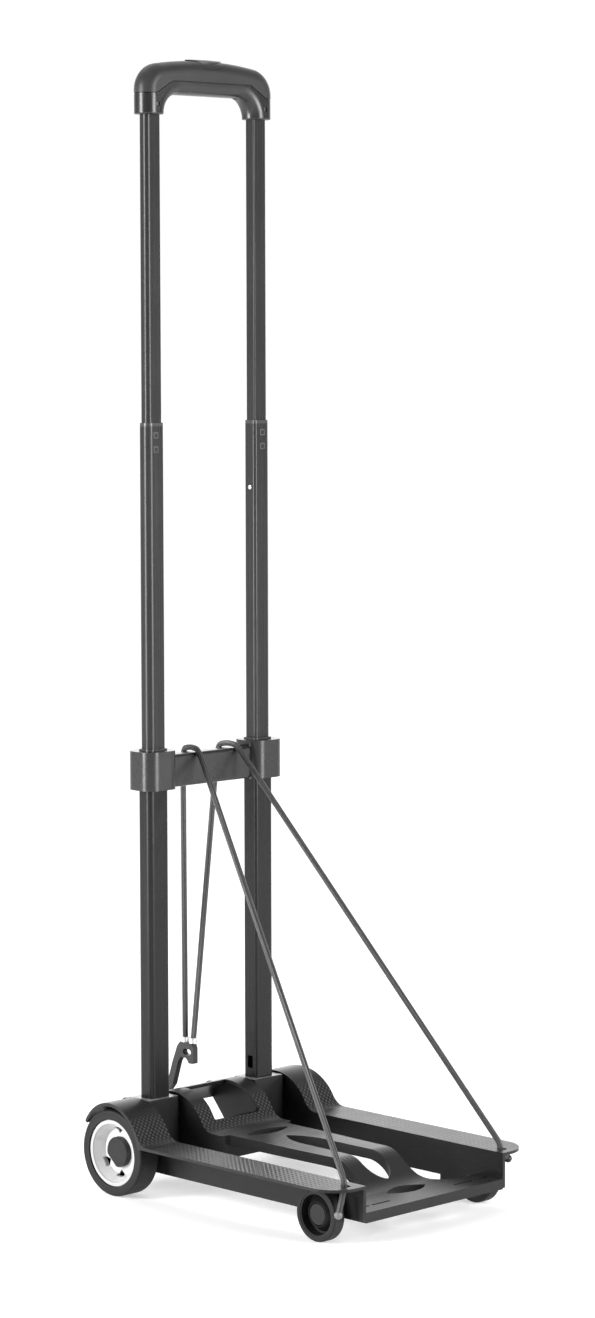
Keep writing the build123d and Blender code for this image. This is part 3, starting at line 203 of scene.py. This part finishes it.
class Paint:
    """A node tree being made, with one method that adds any node."""

    def __init__(self, owner):
        self.owner = owner
        owner.use_nodes = True
        self.tree = owner.node_tree
        self.tree.nodes.clear()

    def node(self, kind, settings=None, inputs=None, out=0):
        made = self.tree.nodes.new(kind)
        for key, value in (settings or {}).items():
            setattr(made, key, value)
        pairs = inputs.items() if isinstance(inputs, dict) else enumerate(inputs or [])
        for key, value in pairs:
            if isinstance(value, Wire):
                self.tree.links.new(value.socket, made.inputs[key])
            else:
                made.inputs[key].default_value = value
        if out is None:
            return None
        if isinstance(out, tuple):
            return [Wire(self, made.outputs[key]) for key in out]
        return Wire(self, made.outputs[out])

    def place(self):
        """Object coordinates: the vector and its three parts."""
        vector = self.node("ShaderNodeTexCoord", out="Object")
        return vector, self.node("ShaderNodeSeparateXYZ", None, [vector], out=(0, 1, 2))

    def facing(self):
        """The surface's direction in the piece's own frame, in three parts."""
        normal = self.node("ShaderNodeTexCoord", out="Normal")
        return self.node("ShaderNodeSeparateXYZ", None, [normal], out=(0, 1, 2))

    def noise(self, vector, scale, detail=2.0, rough=0.5):
        inputs = {"Vector": vector, "Scale": scale, "Detail": detail, "Roughness": rough}
        return self.node("ShaderNodeTexNoise", None, inputs)

    def grain(self, vector, scale):
        """Fine moulded grain."""
        return self.noise(vector, scale, 2.0, 0.6)

    def streaks(self, vector, scales, detail=3.0, rough=0.5):
        """Noise with a scale of its own along each axis."""
        stretched = self.node("ShaderNodeMapping", None, {"Vector": vector, "Scale": scales})
        return self.noise(stretched, 1.0, detail, rough)

    def shade(self, factor, dark, light):
        """Mix of two greys or colours; each may be a number, a colour or a link."""
        inputs = {0: factor}
        for socket, value in ((6, dark), (7, light)):
            inputs[socket] = (value, value, value, 1) if isinstance(value, float) else value
        return self.node("ShaderNodeMix", {"data_type": "RGBA"}, inputs, out=2)

    def finish(self, color, roughness, height=None, depth=0.0, **constants):
        """The shader: height feeds a bump of that depth, and constants are set on its own sockets."""
        inputs = {"Base Color": color, "Roughness": roughness}
        for key, value in constants.items():
            inputs[key.replace("_", " ").replace("Ior", "IOR")] = value
        if height is not None:
            bump = {"Strength": 1.0, "Distance": depth, "Height": height}
            inputs["Normal"] = self.node("ShaderNodeBump", None, bump)
        shader = self.node("ShaderNodeBsdfPrincipled", None, inputs)
        self.node("ShaderNodeOutputMaterial", None, {"Surface": shader}, out=None)
        return self.owner


def new_paint(name):
    return Paint(bpy.data.materials.new(name))


# Studio: white all round for the camera; the object gets a glow from low behind it and three lamps
def set_studio():
    world = bpy.data.worlds.new("studio")
    paint = Paint(world)
    direction = paint.node("ShaderNodeTexCoord", out="Generated")
    x, y, z = paint.node("ShaderNodeSeparateXYZ", None, [direction], out=(0, 1, 2))
    dim_front = 0.16
    bright_back = 3.0
    seen_white = 1.02
    behind = x * 0.70 + y * 0.71
    glow = dim_front + bright_back * (behind * 0.9 + 0.1).clip() ** 2.5 * (1.0 - 0.8 * z.clip())
    seen = paint.node("ShaderNodeLightPath", out="Is Camera Ray")
    strength = glow + seen * (seen_white - glow)
    light = paint.node("ShaderNodeBackground", None, {"Color": WHITE, "Strength": strength})
    paint.node("ShaderNodeOutputWorld", None, {"Surface": light}, out=None)
    scene.world = world
    area_light("top", (0.3, 0.5, 2.4), (0, 0, 0), width=2.0, height=2.0, power=14)
    area_light("left_box", (-2.2, 0.80, 0.94), (0, 0.1, 0.60), width=0.9, height=1.75, power=104)
    area_light("front_box", (0.70, -2.30, 0.94), (0, 0, 0.60), width=1.05, height=1.75, power=92)
    scene.view_settings.view_transform = "Standard"
    scene.view_settings.look = "None"


def moulded_plastic(name, dark, light, rough, sheen=0.3):
    """Plain plastic with a fine grain and a few pale scuffs."""
    paint = new_paint(name)
    vector, _ = paint.place()
    cloud = paint.noise(vector, 22.0, 3.0)
    fine = paint.grain(vector, 1500.0)
    scratches = paint.streaks(vector, (600.0, 140.0, 90.0))
    scuff = (scratches - 0.62).clip() * 2.0
    color = paint.shade(scuff, paint.shade(cloud, dark, light), light * 1.8)
    rough = rough + 0.10 * (cloud - 0.5) + 0.08 * scuff
    return paint.finish(color, rough, fine, 0.00005, Specular_Ior_Level=sheen)


def deck_plastic(name):
    """Satin black: faint slanting ribs on the rail tops, raised dots on the fronts of the arches,
    painted shade inside the arch hollows and on the rails' inner walls, and a rail outer edge paler
    with wear and a painted highlight.
    """
    rail_inside = 0.080
    rail_top_edge = 0.0865
    rail_outside = 0.1217
    arch_half = 0.040
    arch_under = 0.0437
    arch_over = 0.0444
    foot_low = 0.0530
    foot_high = 0.0725
    rib_pitch = 0.0052
    rib_slant = 1.15
    dot_pitch = 0.0048
    dot_radius = 0.045
    paint = new_paint(name)
    vector, (x, y, z) = paint.place()
    face_x, _, face_z = paint.facing()
    side = abs(x)
    forward = AXLE_Y - y
    rise = z - AXLE_Z
    radius = (forward * forward + rise * rise).root()
    rib_wave = (side * rib_slant - forward).wave(rib_pitch)
    rail_top = (face_z > 0.9) * (side > rail_top_edge) * forward.between(0.056, 0.262, 0.004)
    ribs = rib_wave * rail_top
    arc = rise.angle_to(forward) * dot_radius
    dot_rate = FULL_TURN / dot_pitch
    lattice = (side * dot_rate).cosine() * (arc * dot_rate).cosine()
    foot = z.between(foot_low, foot_high, 0.007) * (forward > 0.0)
    dotted = foot * (radius > arch_over) * (face_z > 0.15)
    dots = ((lattice - 0.15) * 2.2).clip() * dotted
    # Painted shade: masks of the arch hollow and of the rails' inner walls, which are darkened almost
    # to black below
    hollow_shade = (side < arch_half) * (radius < arch_under)
    inner_wall_shade = (face_x * x.sign() < -0.6) * (side > rail_inside)
    cloud = paint.noise(vector, 26.0, 4.0)
    fine = paint.grain(vector, 1700.0)
    scratches = paint.streaks(vector, (420.0, 70.0, 420.0))
    scuff = (scratches - 0.60).clip() * 2.2
    # Paler outer edge of the rails: partly wear, partly a painted highlight
    rim = (side > rail_outside) * paint.noise(vector, 120.0, 3.0)
    body = paint.shade(hollow_shade.most(inner_wall_shade), paint.shade(cloud, 0.011, 0.016), 0.005)
    wear_and_edge_highlight = (scuff * 0.5 + rim * 0.35 + ribs * 0.34).clip()
    color = paint.shade(dots, paint.shade(wear_and_edge_highlight, body, 0.050), 0.062)
    rough = 0.34 + 0.10 * (cloud - 0.5) + 0.06 * scuff
    height = ribs * 0.34 + dots + fine * 0.07
    return paint.finish(color, rough, height, 0.00045, Specular_Ior_Level=0.22)


def socket_plastic(name):
    """Gloss black; the flange tops round each tube are paler, with rubbed wear and a painted
    reflection.
    """
    paint = new_paint(name)
    vector, _ = paint.place()
    _, _, face_z = paint.facing()
    cloud = paint.noise(vector, 24.0, 3.0)
    fine = paint.grain(vector, 1500.0)
    # Paler upward faces of the flange: rubbed wear and a painted reflection
    rubbed_and_reflected = (paint.noise(vector, 160.0, 4.0) * 0.6 + 0.4) * (face_z > 0.9)
    color = paint.shade(rubbed_and_reflected, paint.shade(cloud, 0.007, 0.010), 0.26)
    rough = 0.30 + 0.08 * (cloud - 0.5) - 0.14 * rubbed_and_reflected
    return paint.finish(color, rough, fine, 0.00004, Specular_Ior_Level=0.30)


def grip_plastic(name, dark, light, rough, sheen):
    """Satin grey with a fine grain, a dark seam and the leaf-shaped outline round the button."""
    outline_half = 0.0245
    outline_drop = 0.0080
    outline_rise = 0.0072
    outline_floor = 0.9905
    leg_seam = 0.97035
    seam_rise = 0.011
    corner_start = 0.066
    corner_run = 0.019
    paint = new_paint(name)
    vector, (x, _, z) = paint.place()
    cloud = paint.noise(vector, 20.0, 3.0)
    fine = paint.grain(vector, 1500.0)
    across = x / outline_half
    edge = GRIP_CROWN - outline_drop + across * across * outline_rise
    near_edge = abs(z - edge).between(-0.001, 0.00045, 0.0003)
    outline = near_edge * (abs(x) < outline_half) * (z > outline_floor)
    seam_height = leg_seam + seam_rise * ((corner_start - abs(x)) / corner_run).clip()
    seam = abs(z - seam_height).between(-0.001, 0.00060, 0.0003)
    line = outline.most(seam)
    rubbed = paint.streaks(vector, (60.0, 300.0, 300.0))
    polish = (rubbed - 0.58).clip() * 2.0
    body = paint.shade(polish, paint.shade(cloud, dark, light), light * 1.5)
    color = paint.shade(line, body, 0.006)
    rough = rough + 0.10 * (cloud - 0.5) - 0.06 * polish
    return paint.finish(color, rough, fine * 0.12 - outline, 0.0004, Specular_Ior_Level=sheen)


def tube_enamel(name, dark, light):
    """Dark enamel on drawn tube: rubbed streaks, two snap marks near a middle tube's top, each with a
    painted highlight round its edge.
    """
    middle_front = AXLE_Y - 0.0066
    snap_height = 0.6662
    snap_step = 0.0062
    paint = new_paint(name)
    vector, (x, y, z) = paint.place()
    _, face_y, _ = paint.facing()
    front = (face_y < -0.8) * (y < middle_front)
    snap = abs(abs(z - snap_height) - snap_step).most(abs(abs(x) - TUBE_X))
    # Painted highlight round the edge of each snap mark
    snap_glint = snap.between(0.0019, 0.0027, 0.0005) * front
    snap_dent = snap.between(-0.001, 0.0024, 0.0006) * front
    cloud = paint.noise(vector, 14.0, 3.0)
    drawn = paint.streaks(vector, (1500.0, 1500.0, 5.0), 2.0)
    streaks = paint.streaks(vector, (420.0, 420.0, 3.0), 4.0, 0.6)
    rubbed = (streaks - 0.56).clip() * 2.5
    body = paint.shade(rubbed, paint.shade(cloud, dark, light), light * 2.2)
    color = paint.shade(snap_glint, body, 0.09)
    rough = 0.20 + 0.06 * cloud + 0.08 * drawn
    return paint.finish(color, rough, drawn * 0.1 - snap_dent, 0.0003, Specular_Ior_Level=0.26)


def plain_steel(name, dark, light, rough):
    """Cloudy steel with fine lines from drawing."""
    paint = new_paint(name)
    vector, _ = paint.place()
    cloud = paint.noise(vector, 160.0, 3.0)
    lines = paint.streaks(vector, (300.0, 2200.0, 2200.0), 2.0)
    color = paint.shade(cloud, dark, light)
    return paint.finish(color, rough + 0.12 * cloud, lines, 0.00002, Metallic=1.0)


def from_axis(y, z, wheel_y, wheel_z):
    """Distance from a wheel's axis."""
    ahead = y - wheel_y
    above = z - wheel_z
    return (ahead * ahead + above * above).root()


def rim_silver(name):
    """Pale silver-grey rim with fine turned rings: a greyer lip, a little grime in the dish."""
    paint = new_paint(name)
    vector, (_, y, z) = paint.place()
    radius = from_axis(y, z, AXLE_Y, AXLE_Z)
    lip = radius.between(0.0258, 0.0300, 0.0006)
    rings = radius.wave(0.0009)
    cloud = paint.noise(vector, 60.0, 4.0)
    grime = (paint.noise(vector, 140.0, 4.0) - 0.55).clip() * 1.5
    dish = paint.shade(grime, paint.shade(cloud, 0.46, 0.55), 0.26)
    color = paint.shade(lip, dish, paint.shade(cloud, 0.40, 0.47))
    coat = {"Coat_Weight": 0.3, "Coat_Roughness": 0.12}
    return paint.finish(color, 0.30 + 0.10 * cloud, rings, 0.00003, **coat)


def tyre_rubber(name):
    """Black rubber with moulded rings on the side walls and a dusty tread."""
    paint = new_paint(name)
    vector, (_, y, z) = paint.place()
    rear = from_axis(y, z, AXLE_Y, AXLE_Z)
    front = from_axis(y, z, FRONT_WHEEL_Y, FRONT_WHEEL_Z)
    groove = rear.between(0.0350, 0.0354, 0.0003) + front.between(0.0206, 0.0209, 0.0003)
    tread = (rear > 0.0382) * (rear < 0.0400) + (front > 0.0230) * (front < 0.0240)
    cloud = paint.noise(vector, 40.0, 4.0)
    fine = paint.grain(vector, 1900.0)
    dust = (paint.noise(vector, 90.0, 5.0) - 0.45).clip() * tread
    color = paint.shade(dust.clip(), paint.shade(cloud, 0.006, 0.011), 0.05)
    height = fine * 0.3 - groove.clip()
    return paint.finish(color, 0.55 + 0.14 * cloud, height, 0.0002, Specular_Ior_Level=0.3)


def wheel_plastic(name):
    """Dark front wheel: fine turned rings, with a groove round the hub's face."""
    paint = new_paint(name)
    vector, (_, y, z) = paint.place()
    radius = from_axis(y, z, FRONT_WHEEL_Y, FRONT_WHEEL_Z)
    turned = radius.wave(0.0007)
    groove = radius.between(0.0100, 0.0106, 0.0004)
    cloud = paint.noise(vector, 70.0, 3.0)
    fine = paint.grain(vector, 1700.0)
    color = paint.shade(groove, paint.shade(cloud, 0.006, 0.010), 0.001)
    height = turned * 0.06 + fine * 0.05 - groove * 2.0
    return paint.finish(color, 0.42 + 0.10 * cloud, height, 0.0002, Specular_Ior_Level=0.3)


def cap_plastic(name):
    """Hub cap: satin dark with a shallow ring near its edge."""
    paint = new_paint(name)
    vector, (_, y, z) = paint.place()
    radius = from_axis(y, z, AXLE_Y, AXLE_Z)
    ring = radius.between(0.0098, 0.0102, 0.0002)
    cloud = paint.noise(vector, 60.0, 3.0)
    fine = paint.noise(vector, 1800.0)
    color = paint.shade(cloud, 0.009, 0.014)
    height = fine * 0.2 - ring
    return paint.finish(color, 0.42 + 0.10 * cloud, height, 0.0002, Specular_Ior_Level=0.3)


def cord_braid(name):
    """Fluted braided cover: the map's u runs along the cord in metres, v once round it."""
    paint = new_paint(name)
    threads_per_metre = 330.0
    threads_round = 8.0
    flutes_round = 9.0
    twists_per_metre = 3.0
    mapped = paint.node("ShaderNodeUVMap", {"uv_map": "cord_map"})
    along, around = paint.node("ShaderNodeSeparateXYZ", None, [mapped], out=(0, 1))
    left = abs((along * threads_per_metre + around * threads_round).fract() - 0.5) * 2.0
    right = abs((along * threads_per_metre - around * threads_round).fract() - 0.5) * 2.0
    weave = left.most(right)
    flutes = (around * flutes_round + along * twists_per_metre).wave(1.0)
    vector, _ = paint.place()
    fleck = paint.noise(vector, 900.0)
    color = paint.shade((flutes * 0.7 + weave * 0.2 + fleck * 0.1).clip(), 0.006, 0.052)
    height = flutes * 1.6 + weave * 0.25
    return paint.finish(color, 0.34 + 0.12 * fleck, height, 0.00018, Sheen_Weight=0.08)


set_camera()
set_studio()

finishes = {
    "tube": tube_enamel("tube_enamel", dark=0.016, light=0.022),
    # Darker copy of the tube enamel for the lower tubes: painted shade
    "tube_low_shaded": tube_enamel("lower_tube_shaded_enamel", dark=0.005, light=0.008),
    "deck": deck_plastic("deck_plastic"),
    "handle": grip_plastic("grip_plastic", dark=0.024, light=0.031, rough=0.38, sheen=0.24),
    # Darker, glossier copy of the grip plastic for the lower shell: painted shade
    "handle_low_shaded": grip_plastic("grip_lower_shaded_plastic", dark=0.009, light=0.013, rough=0.27, sheen=0.46),
    "bracket": moulded_plastic("bracket_plastic", dark=0.010, light=0.014, rough=0.28, sheen=0.48),
    "socket": socket_plastic("socket_plastic"),
    "inner": moulded_plastic("bush_plastic", dark=0.014, light=0.020, rough=0.42),
    "bush": moulded_plastic("bush_collar_plastic", dark=0.030, light=0.040, rough=0.28, sheen=0.5),
    # Near-black sheet behind the rear rims: painted shade
    "shadow": moulded_plastic("rim_window_shade", dark=0.006, light=0.010, rough=0.60, sheen=0.1),
    "hook": moulded_plastic("hook_plastic", dark=0.024, light=0.034, rough=0.38),
    "ball": moulded_plastic("ball_plastic", dark=0.13, light=0.18, rough=0.30),
    "rim": rim_silver("rim_silver"),
    "wheel": wheel_plastic("wheel_plastic"),
    "cap": cap_plastic("cap_plastic"),
    "steel": plain_steel("bright_steel", dark=0.50, light=0.70, rough=0.22),
    "ferrule": plain_steel("ferrule_metal", dark=0.72, light=0.86, rough=0.30),
    "dull": plain_steel("blackened_steel", dark=0.05, light=0.09, rough=0.40),
    "tyre": tyre_rubber("tyre_rubber"),
    "cord": cord_braid("cord_braid"),
}


# Finish of each carried-over piece, by the first start that its name has; the rest are steel
starts = [
    ("rear_tyre", "tyre"),
    ("front_tyre", "tyre"),
    ("rear_rim", "rim"),
    ("front_hub", "wheel"),
    ("front_axle", "wheel"),
    ("hub_cap", "cap"),
    ("lower_tube", "tube_low_shaded"),
    ("mid_tube", "tube"),
    ("upper_tube", "tube"),
    ("handle_screws", "dull"),
    ("tube_pins", "dull"),
    ("handle_bottom", "handle_low_shaded"),
    ("handle", "handle"),
    ("release_button", "handle"),
    ("bracket_screws", "steel"),
    ("bracket", "bracket"),
    ("tube_socket", "socket"),
    ("socket_rivets", "dull"),
    ("rail", "deck"),
    ("centre_deck", "deck"),
    ("hook_ferrules", "ferrule"),
    ("hook", "hook"),
    ("cord_stop_left", "ball"),
    ("cord_stop", "inner"),
    ("lower_bush", "bush"),
    ("mid_bush", "bush"),
    ("mid_plug", "inner"),
    ("upper_plug", "inner"),
    ("release_yoke", "inner"),
    ("tie_rod", "steel"),
]


def finish_of(name):
    return next((finish for start, finish in starts if name.startswith(start)), "steel")


for name, node in nodes.items():
    node.data.materials.clear()
    node.data.materials.append(finishes[finish_of(name)])


# Elastic cord: one smooth line a side, from its stop under the rail over the crossbar to the hook
def cord_line(name, points):
    curve = bpy.data.curves.new(name, "CURVE")
    curve.dimensions = "3D"
    curve.resolution_u = 14
    spline = curve.splines.new("NURBS")
    spline.points.add(len(points) - 1)
    for point, place in zip(spline.points, points):
        point.co = (*place, 1.0)
    spline.order_u = 3
    spline.use_endpoint_u = True
    holder = bpy.data.objects.new(name, curve)
    scene.collection.objects.link(holder)
    bpy.context.view_layer.update()
    line = bpy.data.meshes.new_from_object(holder)
    path = [vertex.co.copy() for vertex in line.vertices]
    bpy.data.objects.remove(holder)
    return path


def cord_tube(name, path):
    """A tube along the line's points with its own map for the braid."""
    sides = CORD_SIDES
    side = Vector((1, 0, 0))
    travelled = 0.0
    lengths = []
    verts = []
    for i, point in enumerate(path):
        ahead = path[min(i + 1, len(path) - 1)] - path[max(i - 1, 0)]
        ahead.normalize()
        side = (side - ahead * side.dot(ahead)).normalized()
        up = ahead.cross(side)
        if i:
            travelled += (point - path[i - 1]).length
        lengths.append(travelled)
        for k in range(sides):
            angle = FULL_TURN * k / sides
            verts.append(point + CORD_RADIUS * (math.cos(angle) * side + math.sin(angle) * up))
    faces = []
    maps = []
    for i in range(len(path) - 1):
        for k in range(sides):
            this = i * sides + k
            following = i * sides + (k + 1) % sides
            faces.append((this, following, following + sides, this + sides))
            maps += [
                (lengths[i], k / sides),
                (lengths[i], (k + 1) / sides),
                (lengths[i + 1], (k + 1) / sides),
                (lengths[i + 1], k / sides),
            ]
    end = (len(path) - 1) * sides
    faces.append(tuple(reversed(range(sides))))
    faces.append(tuple(range(end, end + sides)))
    maps += [(0.0, k / sides) for k in range(2 * sides)]
    mesh = bpy.data.meshes.new(name)
    mesh.from_pydata(verts, [], faces)
    layer = mesh.uv_layers.new(name="cord_map")
    for loop, value in zip(layer.data, maps):
        loop.uv = value
    mesh.shade_smooth()
    tube = bpy.data.objects.new(name, mesh)
    scene.collection.objects.link(tube)
    tube.data.materials.append(finishes["cord"])
    return tube


# Points of each cord from its stop to the hook: how far out, how far behind the axle, how high
cord_points = {
    "left": [
        (-0.1040, -0.2700, 0.0279),
        (-0.0970, -0.2700, 0.0484),
        (-0.0970, -0.2700, 0.0560),
        (-0.0956, -0.2654, 0.0619),
        (-0.0229, -0.0256, 0.3699),
        (-0.0180, -0.0092, 0.3908),
        (-0.0180, -0.0030, 0.3924),
        (-0.0180, 0.0035, 0.3924),
        (-0.0180, 0.0112, 0.3904),
        (-0.0162, 0.0130, 0.3635),
        (-0.0018, 0.0275, 0.1459),
        (0.0000, 0.0293, 0.1183),
    ],
    "right": [
        (0.1070, -0.2700, 0.0414),
        (0.0970, -0.2700, 0.0484),
        (0.0970, -0.2700, 0.0560),
        (0.0958, -0.2654, 0.0619),
        (0.0338, -0.0256, 0.3698),
        (0.0296, -0.0092, 0.3908),
        (0.0281, -0.0030, 0.3924),
        (0.0266, 0.0035, 0.3924),
        (0.0247, 0.0112, 0.3904),
        (0.0223, 0.0120, 0.3635),
        (0.0025, 0.0182, 0.1459),
        (0.0000, 0.0190, 0.1183),
    ],
}


def make_cords():
    for label, points in cord_points.items():
        places = [(x, AXLE_Y + back, z) for x, back, z in points]
        path = cord_line("cord_line_" + label, places)
        tube = cord_tube("cord_" + label, path)
        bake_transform(tube)
        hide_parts("rear_cord_" + label, "front_cord_" + label)


make_cords()


def pick_faces(wanted):
    """Selects the open piece's faces whose centre and direction the test wants."""
    mesh = bpy.context.object.data
    bpy.ops.object.mode_set(mode="OBJECT")
    for vertex in mesh.vertices:
        vertex.select = False
    for edge in mesh.edges:
        edge.select = False
    for face in mesh.polygons:
        face.select = wanted(face.center, face.normal)
    bpy.ops.object.mode_set(mode="EDIT")
    bpy.ops.mesh.select_mode(type="FACE")


def close_piece(name, finish):
    """Puts the finished shape's place in its mesh and gives it its finish."""
    bpy.ops.object.mode_set(mode="OBJECT")
    bpy.ops.object.transform_apply(location=True, rotation=True, scale=True)
    bpy.ops.object.shade_smooth_by_angle(angle=math.radians(35))
    piece = bpy.context.object
    piece.name = name
    piece.data.name = name
    piece.data.materials.clear()
    piece.data.materials.append(finishes[finish])
    return piece


# Spring latch pins: a domed pin each side, carried by its sliding stage
def latch_pin(side, height, reach):
    bpy.ops.object.select_all(action="DESELECT")
    middle = side * (TUBE_X - reach / 2)
    bpy.ops.mesh.primitive_cylinder_add(
        vertices=40,
        radius=PIN_RADIUS,
        depth=reach,
        location=(middle, AXLE_Y, height),
        rotation=(0, -side * math.pi / 2, 0),
    )
    bpy.ops.object.mode_set(mode="EDIT")
    # In its own frame the pin stands upright, with the end that shows on top
    pick_faces(lambda centre, normal: normal.z > 0.9)
    bpy.ops.mesh.bevel(offset=PIN_DOME, segments=5, affect="EDGES")


def make_latch_pins():
    # Name, node, joint, body, height, reach from the tube's middle, share left when pressed back
    rows = [
        ("mid_latch", "mid_latches", "mid_slide", "mid_stage", 0.370, 0.01205, 0.80),
        ("upper_latch", "upper_latches", "upper_slide", "handle", 0.623, 0.01000, 0.81),
    ]
    for label, node, joint, body, height, reach, keep in rows:
        for side, hand in SIDES:
            latch_pin(side, height, reach)
            pin = close_piece(label + "_" + hand, "steel")
            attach(pin, body)
            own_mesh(pin)
            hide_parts(node)


make_latch_pins()


# Return leaf under the button's yoke: a bowed strip
def make_return_leaf():
    bpy.ops.object.select_all(action="DESELECT")
    foot = (0, AXLE_Y, LEAF_FLOOR)
    bpy.ops.mesh.primitive_grid_add(x_subdivisions=24, y_subdivisions=1, size=1.0, location=foot)
    bpy.ops.object.mode_set(mode="EDIT")
    bpy.ops.mesh.select_all(action="SELECT")
    bpy.ops.transform.resize(value=(2 * LEAF_HALF, LEAF_WIDTH, 1.0))
    pick_faces(lambda centre, normal: abs(centre.x) < 0.1 * LEAF_HALF)
    bpy.ops.transform.translate(
        value=(0, 0, LEAF_BOW),
        use_proportional_edit=True,
        proportional_edit_falloff="SMOOTH",
        proportional_size=0.9 * LEAF_HALF,
    )
    bpy.ops.object.mode_set(mode="OBJECT")
    bpy.ops.object.modifier_add(type="SOLIDIFY")
    solidify = bpy.context.object.modifiers[-1]
    solidify.thickness = LEAF_THICKNESS
    solidify.offset = 1.0
    bpy.ops.object.modifier_apply(modifier=solidify.name)
    leaf = close_piece("spring_leaf", "steel")
    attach(leaf, "handle")
    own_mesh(leaf)
    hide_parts("return_leaf")


make_return_leaf()


# Dark ring behind each rear rim: painted shade that makes its windows dark
def shade_ring(side):
    bpy.ops.object.select_all(action="DESELECT")
    bpy.ops.mesh.primitive_circle_add(
        vertices=96,
        radius=RING_RADIUS,
        fill_type="NGON",
        location=(side * RING_X, AXLE_Y, AXLE_Z),
        rotation=(0, side * math.pi / 2, 0),
    )
    bpy.ops.object.mode_set(mode="EDIT")
    bpy.ops.mesh.select_all(action="SELECT")
    bpy.ops.mesh.inset(thickness=RING_WIDTH)
    bpy.ops.mesh.delete(type="FACE")
    bpy.ops.mesh.select_all(action="SELECT")
    outwards = {"value": (side * RING_THICKNESS, 0, 0)}
    bpy.ops.mesh.extrude_region_move(TRANSFORM_OT_translate=outwards)
    bpy.ops.mesh.select_all(action="SELECT")
    bpy.ops.mesh.normals_make_consistent(inside=False)
    # In its own frame the ring lies flat, with its outer face on top
    pick_faces(lambda centre, normal: normal.z > 0.9)
    bpy.ops.mesh.bevel(offset=RING_EDGE, segments=2, affect="EDGES")


def make_shade_rings():
    for side, hand in SIDES:
        shade_ring(side)
        ring = close_piece("rim_shade_ring_" + hand, "shadow")
        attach(ring, "rear_wheel_" + hand)


make_shade_rings()


# Pale floor that glows a little, less near the object so that its shadow shows
def make_floor():
    near_glow = 0.58
    near = 0.35
    fade = 1.45
    bpy.ops.object.select_all(action="DESELECT")
    bpy.ops.mesh.primitive_plane_add(size=40, location=(0, 0, 0))
    floor = bpy.context.object
    floor.name = "floor"
    paint = new_paint("floor_paper")
    vector, _ = paint.place()
    color = paint.shade(paint.noise(vector, 1.5), 0.68, 0.71)
    away = paint.node("ShaderNodeVectorMath", {"operation": "LENGTH"}, [vector], out="Value")
    glow = paint.shade(((away - near) / fade).clip(), near_glow, 1.0)
    settings = {"Emission_Color": glow, "Emission_Strength": 0.76, "Specular_Ior_Level": 0.1}
    floor.data.materials.append(paint.finish(color, 0.9, **settings))


make_floor()
